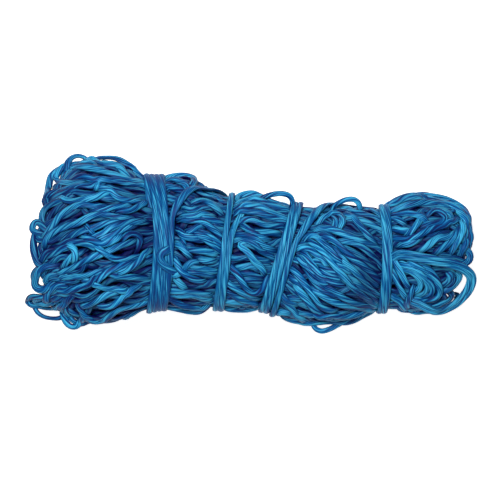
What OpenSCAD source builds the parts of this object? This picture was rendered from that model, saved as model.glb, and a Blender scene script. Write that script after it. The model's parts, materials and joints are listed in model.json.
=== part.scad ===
// Cargo climbing net, gathered lengthwise, folded into a bundle and bound at four places.
// The bundle lies along X on the plane z = 0. Its loose fan is at -X and its tail at +X.

/* [Cords] */
// Diameter of the net twine
twine_d = 5; // [4:0.5:6]
// Diameter of the tie cord
tie_d = 5; // [4:0.5:6]
// Free space between neighbouring cords
slack = 0.5; // [0.45:0.05:0.8]

/* [Lengths] */
// Fan, from the tips of its loops to the first binding
fan_l = 120; // [95:1:150]
// Bay between the first and second bindings
bay_1_l = 49; // [40:1:60]
// Bay between the second and third bindings
bay_2_l = 45; // [37:1:60]
// Bay between the third and fourth bindings
bay_3_l = 90; // [70:1:120]
// Tail, from the fourth binding to the tips of its loops
tail_l = 86; // [70:1:110]
// Widest place of the fan, from the tips of its loops
fan_peak = 58; // [45:1:70]
// Widest place of the tail, from the tips of its loops
tail_peak = 58; // [45:1:65]

/* [Widths over the net] */
// Width at the tips of the fan
fan_tip_w = 132; // [100:1:160]
// Width of the fan
fan_w = 161; // [134:1:194]
// Width under the first binding
neck_1_w = 124; // [100:1:150]
// Width of the first bay
bay_1_w = 138; // [115:1:166]
// Width under the second binding
neck_2_w = 103; // [86:1:124]
// Width of the second bay
bay_2_w = 117; // [97:1:141]
// Width under the third binding
neck_3_w = 95; // [79:1:115]
// Width of the third bay
bay_3_w = 118; // [98:1:142]
// Width under the fourth binding
neck_4_w = 94; // [78:1:114]
// Width of the tail
tail_w = 121; // [100:1:146]
// Width at the tips of the tail
tail_tip_w = 88; // [73:1:106]

/* [Heights over the net] */
// Height at the tips of the fan
fan_tip_h = 66; // [55:1:80]
// Height of the fan
fan_h = 100; // [83:1:120]
// Height under the first binding
neck_1_h = 72; // [60:1:87]
// Height of the first bay
bay_1_h = 89; // [74:1:107]
// Height under the second binding
neck_2_h = 66; // [55:1:80]
// Height of the second bay
bay_2_h = 82; // [68:1:99]
// Height under the third binding
neck_3_h = 62; // [52:1:75]
// Height of the third bay
bay_3_h = 85; // [70:1:102]
// Height under the fourth binding
neck_4_h = 60; // [50:1:72]
// Height of the tail
tail_h = 82; // [68:1:99]
// Height at the tips of the tail
tail_tip_h = 52; // [43:1:63]
// Height of the lowest end loops above the floor
tip_rise = 13; // [8:1:18]

/* [Sway of the centre line towards +Y] */
// Sway at the fan
fan_sway = 4; // [-20:1:20]
// Sway at the second binding
neck_2_sway = -6; // [-20:1:20]
// Sway at the third binding
neck_3_sway = -12; // [-30:1:20]
// Sway at the third bay
bay_3_sway = -19; // [-30:1:20]
// Sway at the fourth binding
neck_4_sway = -13; // [-30:1:20]
// Sway at the tail
tail_sway = -7; // [-20:1:20]
// Lean of the second binding along X, at its far side
neck_2_lean = 7; // [0:1:10]
// Lean of the third binding along X, at its far side
neck_3_lean = 16; // [0:1:18]

/* [Net] */
// Twines in the outer layer, each a long loop
twine_count = 16; // [12:2:18]
// Share of a turn by which the third bay is twisted
bay_twist = 0.12; // [0:0.01:0.16]
// How far the tips of the end loops stagger
ragged = 9; // [0:1:12]
// Share of the net's height that lies flat on the floor
squat = 0.12; // [0.05:0.01:0.2]
// Length of each lowest twine that lies on the floor, in the fan and the third bay
foot_l = 18; // [12:1:24]
// Free space between the inner folds and the outer twines in the bays
core_slack = 3.5; // [2.5:0.5:6]

/* [Tie cord] */
// Turns in the first binding
turns_1 = 4; // [2:1:5]
// Turns in the second binding
turns_2 = 1.75; // [1.75:1:3.75]
// Turns in the third binding
turns_3 = 2.75; // [1.75:1:3.75]
// Turns in the fourth binding
turns_4 = 1.75; // [0.75:1:2.75]

/* [Standing loops] */
// Reach of the standing loop beside the third binding
far_ear_reach = 9; // [6:1:14]
// Reach of the small standing loop of the third bay
small_ear_reach = 6; // [4:1:10]
// Reach of the standing loop on the near side
near_ear_reach = 8; // [6:1:14]

/* [Hidden] */
$fn = 48;
twine_r = twine_d / 2;
tie_r = tie_d / 2;
tie_pitch = tie_d + slack;
cord_sides = 6;
ring_per_turn = 16;
bight_angles = [-72, -36, 0, 36, 72];
arc_step = 6;
run_count = 2 * twine_count;

// A wound cord has straight pieces between its rings, so it stands off by their greatest sagitta.
function wound_sagitta(half_w) = half_w * pow(2 * PI / ring_per_turn, 2) / 8;
tie_out = twine_r + tie_r + 2 * slack + wound_sagitta(neck_1_w / 2);

// Heights of the centres of the lowest twines. In the bays a tenth of the twine is cut flat.
rest_z = twine_r - twine_d / 10;
neck_z = tie_out + tie_r + slack;

// Stations along the bundle, measured from the tips of the fan.
width_1 = turns_1 * tie_pitch;
width_2 = turns_2 * tie_pitch;
width_3 = turns_3 * tie_pitch;
width_4 = turns_4 * tie_pitch;
bundle_l = fan_l + width_1 + bay_1_l + width_2 + bay_2_l + width_3 + bay_3_l + width_4 + tail_l;
x_fan_tip = -bundle_l / 2;
x_fan = x_fan_tip + fan_peak;
x_1 = x_fan_tip + fan_l;
x_1_end = x_1 + width_1;
x_bay_1 = x_1_end + bay_1_l / 2;
x_2 = x_1_end + bay_1_l;
x_2_end = x_2 + width_2;
x_neck_2 = x_2 + width_2 / 2;
x_bay_2 = x_2_end + bay_2_l / 2;
x_3 = x_2_end + bay_2_l;
x_3_end = x_3 + width_3;
x_bay_3 = x_3_end + bay_3_l / 2;
x_4 = x_3_end + bay_3_l;
x_4_end = x_4 + width_4;
x_neck_4 = x_4 + width_4 / 2;
x_tail_tip = bundle_l / 2;
x_tail = x_tail_tip - tail_peak;

// Each row: x, half width, lowest and highest z, sway and lean of the outer twines' centres,
// then the twist of the net in turns and the space between it and the inner folds.
function row(x, w, h, z, sway, lean, twist, gap) =
    [x, w / 2 - twine_r, z, z + h - twine_d, sway, lean, twist, gap];
stations = [
    row(x_fan_tip, fan_tip_w, fan_tip_h, tip_rise, 0, 0, 0, core_slack),
    row(x_fan, fan_w, fan_h, rest_z, fan_sway, 0, 0, core_slack),
    row(x_1, neck_1_w, neck_1_h, neck_z, 0, 0, 0, slack),
    row(x_1_end, neck_1_w, neck_1_h, neck_z, 0, 0, 0, slack),
    row(x_bay_1, bay_1_w, bay_1_h, rest_z, 0, neck_2_lean, 0, core_slack),
    row(x_neck_2, neck_2_w, neck_2_h, neck_z, neck_2_sway, neck_2_lean, 0, slack),
    row(x_bay_2, bay_2_w, bay_2_h, rest_z, neck_2_sway, neck_2_lean, 0, core_slack),
    row(x_3, neck_3_w, neck_3_h, neck_z, neck_3_sway, neck_3_lean, 0, slack),
    row(x_3_end, neck_3_w, neck_3_h, neck_z, neck_3_sway, neck_3_lean, 0, core_slack / 2),
    row(x_bay_3, bay_3_w, bay_3_h, rest_z, bay_3_sway, 0, bay_twist / 2, core_slack),
    row(x_neck_4, neck_4_w, neck_4_h, neck_z, neck_4_sway, 0, bay_twist, core_slack / 2),
    row(x_tail, tail_w, tail_h, rest_z, tail_sway, 0, bay_twist, core_slack),
    row(x_tail_tip, tail_tip_w, tail_tip_h, tip_rise, tail_sway, 0, bay_twist, core_slack)
];
run_x = [for (i = [1 : len(stations) - 2]) stations[i][0]];
function at(x, i) = lookup(x, [for (s = stations) [s[0], s[i]]]);

// A point on the outer twines' centres at x, at angle a from +Y, pushed outwards by out.
function skin(x, a, out = 0) =
    let (
        low = at(x, 2) - out,
        high = at(x, 3) + out,
        half_h = (high - low) * (1 + squat) / 2
    )
    [
        x + at(x, 5) * cos(a),
        at(x, 4) + (at(x, 1) + out) * cos(a),
        max(low, high - half_h + half_h * sin(a))
    ];
function grounded(x, a) = skin(x, a).z == at(x, 2);
function outward(x, a) = grounded(x, a) ? [0, 0, -1] : unit(skin(x, a, 1) - skin(x, a));
function unit(v) = v / norm(v);

// Lengths along the section at x, from its lowest point, each with its angle.
function girth_table(x) =
    let (p = [for (a = [-90 : arc_step : 270]) skin(x, a)])
    [
        for (i = 0, s = 0; i < len(p); s = s + (i + 1 < len(p) ? norm(p[i + 1] - p[i]) : 0), i = i + 1)
            [s, i * arc_step - 90]
    ];
function girth(x) = let (g = girth_table(x)) g[len(g) - 1][0];
function angle_at(x, share) =
    let (g = girth_table(x))
    lookup((share - floor(share)) * g[len(g) - 1][0], g);

// Tube swept along points. Each ring has a flat side turned to its outward direction, and what
// would dip under the floor is cut flat.
function tangent(p, i) = unit(p[min(i + 1, len(p) - 1)] - p[max(i - 1, 0)]);
function ring(p, i, up, r) =
    let (t = tangent(p, i), s = unit(cross(t, up)), w = cross(s, t))
    [
        for (k = [0 : cord_sides - 1])
            let (
                a = 360 * (k + 0.5) / cord_sides,
                q = p[i] + r * (cos(a) * w + sin(a) * s)
            )
            [q.x, q.y, max(q.z, 0)]
    ];
function side_faces(rings) =
    [
        for (i = [0 : rings - 2], k = [0 : cord_sides - 1])
            let (a = i * cord_sides + k, b = i * cord_sides + (k + 1) % cord_sides)
            each [[a, a + cord_sides, b], [b, a + cord_sides, b + cord_sides]]
    ];
function cap_faces(rings) =
    let (last = (rings - 1) * cord_sides)
    [for (k = [1 : cord_sides - 2]) each [[0, k, k + 1], [last, last + k + 1, last + k]]];
module cord(points, ups, radii, first, last) {
    rings = [for (i = [first : last]) each ring(points, i, ups[i], radii[i])];
    count = last - first + 1;
    polyhedron(rings, concat(side_faces(count), cap_faces(count)));
}
module whole_cord(points, ups, r) {
    cord(points, ups, [for (p = points) r], 0, len(points) - 1);
}

// A free cord's ends are rounded off by two smaller rings past its first and last points.
end_angles = [65, 35];
module free_cord(points, ups, r) {
    last = len(points) - 1;
    head = [for (a = end_angles) points[0] - tangent(points, 0) * r * sin(a)];
    foot = [for (a = reversed(end_angles)) points[last] + tangent(points, last) * r * sin(a)];
    caps = [for (a = end_angles) r * cos(a)];
    cord(
        concat(head, points, foot),
        concat([ups[0], ups[0]], ups, [ups[last], ups[last]]),
        concat(caps, [for (p = points) r], reversed(caps)),
        0,
        last + 2 * len(caps)
    );
}

// Least gap of a cord to itself, between points that lie more than two diameters apart along it.
function walk(p) =
    [
        for (i = 0, s = 0; i < len(p); i = i + 1, s = s + (i < len(p) ? norm(p[i] - p[i - 1]) : 0))
            s
    ];
function least_gap(p, d) =
    let (s = walk(p))
    min([
        for (i = [0 : len(p) - 2], j = [i + 1 : len(p) - 1])
            if (s[j] - s[i] > 2 * d && norm(p[i] - p[j]) < s[j] - s[i] - d) norm(p[i] - p[j])
    ]) - d;

// Mesh knots: rows at the fan, the first two bays and the tail, in alternate pairs of runs.
knot_x = [x_fan, x_bay_1, x_bay_2, x_tail];
knot_r = twine_r * 0.8;
knot_drop = twine_r * 1.2;
knot_offset = knot_r * 1.2;
knot_sweep = 120;
knot_lowest = twine_d * 4;
pair_gap = twine_d + slack;
knot_arc_r = norm([pair_gap / 2, knot_drop]) + twine_r + 2 * slack + knot_r;
function pair_share(r, m) = (2 * m + r % 2 + 1) / run_count + at(knot_x[r], 6);
function pair_angle(r, m) = angle_at(knot_x[r], pair_share(r, m));
function turn_between(a, b) = let (d = abs(a - b) % 360) min(d, 360 - d);
knot_clear = 26;
function knot_kept(r, m) =
    let (a = pair_angle(r, m))
    skin(knot_x[r], a).z > knot_lowest && !tie_near(knot_x[r], a);
function tie_near(x, a) =
    len([for (b = [0 : 2]) if (crosses(b, x) && turn_between(a, run_angle(b, x)) < knot_clear) b]) > 0
    || (x == x_tail && turn_between(a, pull_middle) < pull_clear);
function crosses(b, x) = x > run_from(b) && x < run_to(b);

// Outer twines: run k lies at its own share of the girth and leans to its partner at each knot.
function lean_in(k, x) =
    let (r = search(x, knot_x))
    len(r) == 0 ? 0 :
    let (
        odd = r[0] % 2,
        m = floor(((k - odd + run_count) % run_count) / 2),
        side = (k + odd) % 2 == 0 ? 1 : -1
    )
    knot_kept(r[0], m) ? side * (1 / run_count - pair_gap / girth(x)) / 2 : 0;
function run_share(k, x) = (k + 0.5) / run_count + at(x, 6) + lean_in(k, x);
function run_spot(k, x, flat = false) = [x, angle_at(x, run_share(k, x)), 0, flat];

// Where a run lies on the floor, it has a straight foot.
foot_x = [x_fan, x_bay_3];
function run_spots(k, x) =
    let (s = run_spot(k, x))
    len(search(x, foot_x)) > 0 && grounded(x, s[1])
        ? [for (end = [-0.5, 0.5]) run_spot(k, x + end * foot_l, true)]
        : [s];

// End loop from run k to the second run after it. Over loops pass on top of the run between.
bight_lift = twine_d + 3 * slack;
over_setback = 14;
stagger_step = 137;
function stagger(n) = ragged * (1 + sin(stagger_step * n)) / 2;
function bight(k, n, end) =
    let (
        over = n % 2 == 0,
        inset = (over ? over_setback : twine_r) + stagger(n),
        x_tip = end < 0 ? x_fan_tip + inset : x_tail_tip - inset,
        reach = girth(x_tip) / run_count
    )
    [
        for (a = bight_angles)
            let (
                x = x_tip - end * reach * (1 - cos(a)),
                share = (k + 1.5 + end * sin(a) * -1) / run_count + at(x, 6)
            )
            [x, angle_at(x, share), over ? bight_lift * cos(a) : 0, false]
    ];
function reversed(list) = [for (i = [len(list) - 1 : -1 : 0]) list[i]];

// The two ends of each twine meet under the first binding.
x_join = x_1 + width_1 / 2;
join_gap = twine_d * 0.8;
function twine_spots(n) =
    let (k = 4 * floor(n / 2) + n % 2)
    concat(
        [run_spot(k, x_join + join_gap)],
        [for (x = run_x) if (x > x_join) each run_spots(k, x)],
        reversed(bight(k, n, 1)),
        reversed([for (x = run_x) each run_spots(k + 2, x)]),
        reversed(bight(k, n, -1)),
        [for (x = run_x) if (x < x_join) each run_spots(k, x)],
        [run_spot(k, x_join - join_gap)]
    );
function points_of(spots) =
    [for (s = spots) let (p = skin(s[0], s[1], s[2])) [p.x, p.y, s[3] ? rest_z : p.z]];
function ups_of(spots) = [for (s = spots) outward(s[0], s[1])];

// Tie cord: it winds over the far side as it goes along +X, so its angle falls.
exit_angle = 70;
entry_angle = -20;
run_rings = 8;
band_x = [x_1, x_2, x_3, x_4];
band_turns = [turns_1, turns_2, turns_3, turns_4];
function band_start(b) = b == 0 ? exit_angle : entry_angle;
function band_end(b) = band_start(b) - 360 * band_turns[b];
function run_from(b) = band_x[b] + band_turns[b] * tie_pitch;
function run_to(b) = band_x[b + 1];
crossing_ease = [1, 1.5, 2.5];
function run_angle(b, x) =
    let (left = (run_to(b) - x) / (run_to(b) - run_from(b)))
    entry_angle + (exit_angle - entry_angle) * pow(left, crossing_ease[b]);
function band_spots(b) =
    let (n = round(band_turns[b] * ring_per_turn))
    [
        for (i = [0 : n])
            let (turns = band_turns[b] * i / n)
            [band_x[b] + turns * tie_pitch, band_start(b) - 360 * turns, tie_out, false]
    ];
function crossing_spots(b) =
    [
        for (i = [1 : run_rings - 1])
            let (x = run_from(b) + (run_to(b) - run_from(b)) * i / run_rings)
            [x, run_angle(b, x), tie_out, false]
    ];
tie_spots = [for (b = [0 : 3]) each concat(band_spots(b), b < 3 ? crossing_spots(b) : [])];
tie_points = points_of(tie_spots);
tie_ups = ups_of(tie_spots);
tie_radii = [for (p = tie_points) tie_r];
function band_rings(b) = round(band_turns[b] * ring_per_turn) + 1;
function band_first(b) = b == 0 ? 0 : band_first(b - 1) + band_rings(b - 1) + run_rings - 1;
function band_last(b) = band_first(b) + band_rings(b) - 1;

// Pull loop: two strands side by side, each a list of x from the fourth binding and angle.
pull_middle = 115;
pull_clear = 60;
pull_outer = [
    [6, 88], [22, 91], [40, 94], [58, 98], [72, 106], [80, 118], [80, 130],
    [73, 142], [60, 149], [44, 149], [28, 146]
];
pull_inner = [
    [10, 97], [23, 100], [40, 103], [54, 107], [64, 113], [70, 121], [70, 129],
    [65, 136], [56, 140], [44, 140], [29, 137]
];
pull_seat = twine_r + tie_r + 3 * slack;
function pull_out(x) = pull_seat + lookup(x, [[x_tail, 0], [x_tail + 16, bight_lift]]);
function pull_spots(list) = [for (p = list) let (x = x_4_end + p[0]) [x, p[1], pull_out(x), false]];

// Standing loops: x and angle of the middle of each, with its half width and reach, and how deep
// its feet sit between the twines.
far_ear_w = 6;
ears = [
    [x_3 - tie_r - twine_r - 2 * slack - far_ear_w, 14, far_ear_w, far_ear_reach, 0],
    [x_bay_3 + 18, 18, 9, small_ear_reach, 1.3],
    [x_bay_3 + 4, 184, 10, near_ear_reach, 0.9]
];
ear_rings = 12;
ear_out = twine_d + slack;
function ear_points(e) =
    let (up = outward(e[0], e[1]))
    [
        for (i = [0 : ear_rings])
            let (a = 180 * i / ear_rings)
            skin(e[0] - cos(a) * e[2], e[1], ear_out - e[4]) + up * sin(a) * e[3]
    ];

function two_digits(n) = str(n < 10 ? "0" : "", n);
function twine_name(n) = str("net_twine_", two_digits(n + 1));
function band_name(b) = str("tie_binding_", b + 1);
function crossing_name(b) = str("tie_crossing_", b + 1);
function knot_name(r) = str("knot_row_", r + 1);
ear_names = ["far_standing_loop", "small_standing_loop", "near_standing_loop"];

net_blue = "#2b7aa7";
deep_blue = "#144173";
tie_blue = "#3a90bb";

module inner_folds() {
    sides = run_count;
    ends = [x_fan_tip + over_setback + ragged + twine_d, x_tail_tip - over_setback - ragged - twine_d];
    xs = concat(ends[0], run_x, ends[1]);
    points = [for (x = xs, k = [0 : sides - 1]) skin(x, 360 * k / sides, -twine_r - at(x, 7))];
    last = (len(xs) - 1) * sides;
    walls = [
        for (i = [0 : len(xs) - 2], k = [0 : sides - 1])
            let (a = i * sides + k, b = i * sides + (k + 1) % sides)
            each [[a, b, a + sides], [b, b + sides, a + sides]]
    ];
    caps = [for (k = [1 : sides - 2]) each [[0, k + 1, k], [last, last + k, last + k + 1]]];
    color(deep_blue) polyhedron(points, concat(walls, caps));
}

module net_twine(n) {
    spots = twine_spots(n);
    echo(str(twine_name(n), " least gap to itself ", least_gap(points_of(spots), twine_d)));
    color(net_blue) whole_cord(points_of(spots), ups_of(spots), twine_r);
}

module knot(x, a) {
    up = outward(x, a);
    along = unit([1, 0, 0] - up * up.x);
    side = cross(along, up);
    at_p = skin(x, a) - up * knot_drop;
    multmatrix([
        [up.x, side.x, along.x, at_p.x],
        [up.y, side.y, along.y, at_p.y],
        [up.z, side.z, along.z, at_p.z]
    ])
        rotate(-knot_sweep / 2)
            rotate_extrude(angle = knot_sweep)
                translate([knot_arc_r, 0])
                    circle(knot_r);
}

module knot_row(r) {
    color(net_blue)
        for (m = [0 : twine_count - 1])
            if (knot_kept(r, m))
                knot(knot_x[r] + (m % 2 == 0 ? -1 : 1) * knot_offset, pair_angle(r, m));
}

module tie_binding(b) {
    wound = [for (i = [band_first(b) : band_last(b)]) tie_points[i]];
    echo(str(band_name(b), " least gap to itself ", least_gap(wound, tie_d)));
    color(tie_blue) cord(tie_points, tie_ups, tie_radii, band_first(b), band_last(b));
}

module tie_crossing(b) {
    color(tie_blue) cord(tie_points, tie_ups, tie_radii, band_last(b), band_first(b + 1));
}

module pull_loop() {
    hinge = points_of(pull_spots(pull_outer));
    echo(str("pull_loop swings about ", hinge[0], " ", hinge[len(hinge) - 1]));
    color(tie_blue)
        for (list = [pull_outer, pull_inner])
            let (spots = pull_spots(list))
                free_cord(points_of(spots), ups_of(spots), tie_r);
}

module standing_loop(e) {
    points = ear_points(ears[e]);
    echo(str(ear_names[e], " swings about ", points[0], " ", points[ear_rings]));
    across = cross([1, 0, 0], outward(ears[e][0], ears[e][1]));
    color(net_blue) free_cord(points, [for (p = points) across], twine_r);
}

inner_folds();
for (n = [0 : twine_count - 1]) net_twine(n);
for (r = [0 : len(knot_x) - 1]) knot_row(r);
for (b = [0 : 3]) tie_binding(b);
for (b = [0 : 2]) tie_crossing(b);
pull_loop();
for (e = [0 : 2]) standing_loop(e);
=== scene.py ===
"""Looks of a tied cargo climbing net: knotted twine, gathered, folded and bound with its own cord.

Lengths are in millimetres until a mesh is made, and angles in degrees. The net lies along X. An angle
round it starts at +Y, the far side, and grows over the top to the near side.
"""

import json
import logging
import math
from dataclasses import dataclass, field
from enum import Enum
from functools import cached_property

import bpy
import numpy as np
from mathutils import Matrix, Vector


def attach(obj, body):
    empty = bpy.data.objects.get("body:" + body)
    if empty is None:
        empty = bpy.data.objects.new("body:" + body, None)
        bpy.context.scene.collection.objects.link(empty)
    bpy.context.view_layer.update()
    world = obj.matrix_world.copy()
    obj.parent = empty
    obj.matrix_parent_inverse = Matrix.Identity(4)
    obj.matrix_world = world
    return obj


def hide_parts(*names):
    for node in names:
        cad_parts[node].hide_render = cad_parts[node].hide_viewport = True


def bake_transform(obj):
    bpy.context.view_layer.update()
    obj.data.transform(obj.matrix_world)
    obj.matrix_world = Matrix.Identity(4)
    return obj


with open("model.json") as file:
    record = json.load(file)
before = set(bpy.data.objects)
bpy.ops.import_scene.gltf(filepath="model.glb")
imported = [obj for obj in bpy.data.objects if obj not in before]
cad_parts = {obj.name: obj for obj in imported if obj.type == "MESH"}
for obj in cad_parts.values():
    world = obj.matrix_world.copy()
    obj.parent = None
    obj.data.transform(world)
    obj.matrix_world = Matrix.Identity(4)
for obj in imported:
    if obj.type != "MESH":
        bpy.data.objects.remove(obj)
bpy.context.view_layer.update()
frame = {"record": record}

log = logging.getLogger("net")
MM = 0.001
TINY = 1e-9
SEED = 41
TWINE_D = 5.0
TWINE_R = TWINE_D / 2
TIE_PITCH = 5.5
# Runs of twine round the bundle, two for each outer twine.
RUNS = 32


class Slot(Enum):
    """The record's material slots."""

    NET = "net_twine"
    TIE = "tie_cord"
    INNER = "inner_net"


class Place(Enum):
    """Stretches of the bundle between its ends and its bindings, from left to right."""

    FAN = "fan"
    BAY_1 = "bay_1"
    BAY_2 = "bay_2"
    BAY_3 = "bay_3"
    TAIL = "tail"


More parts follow.
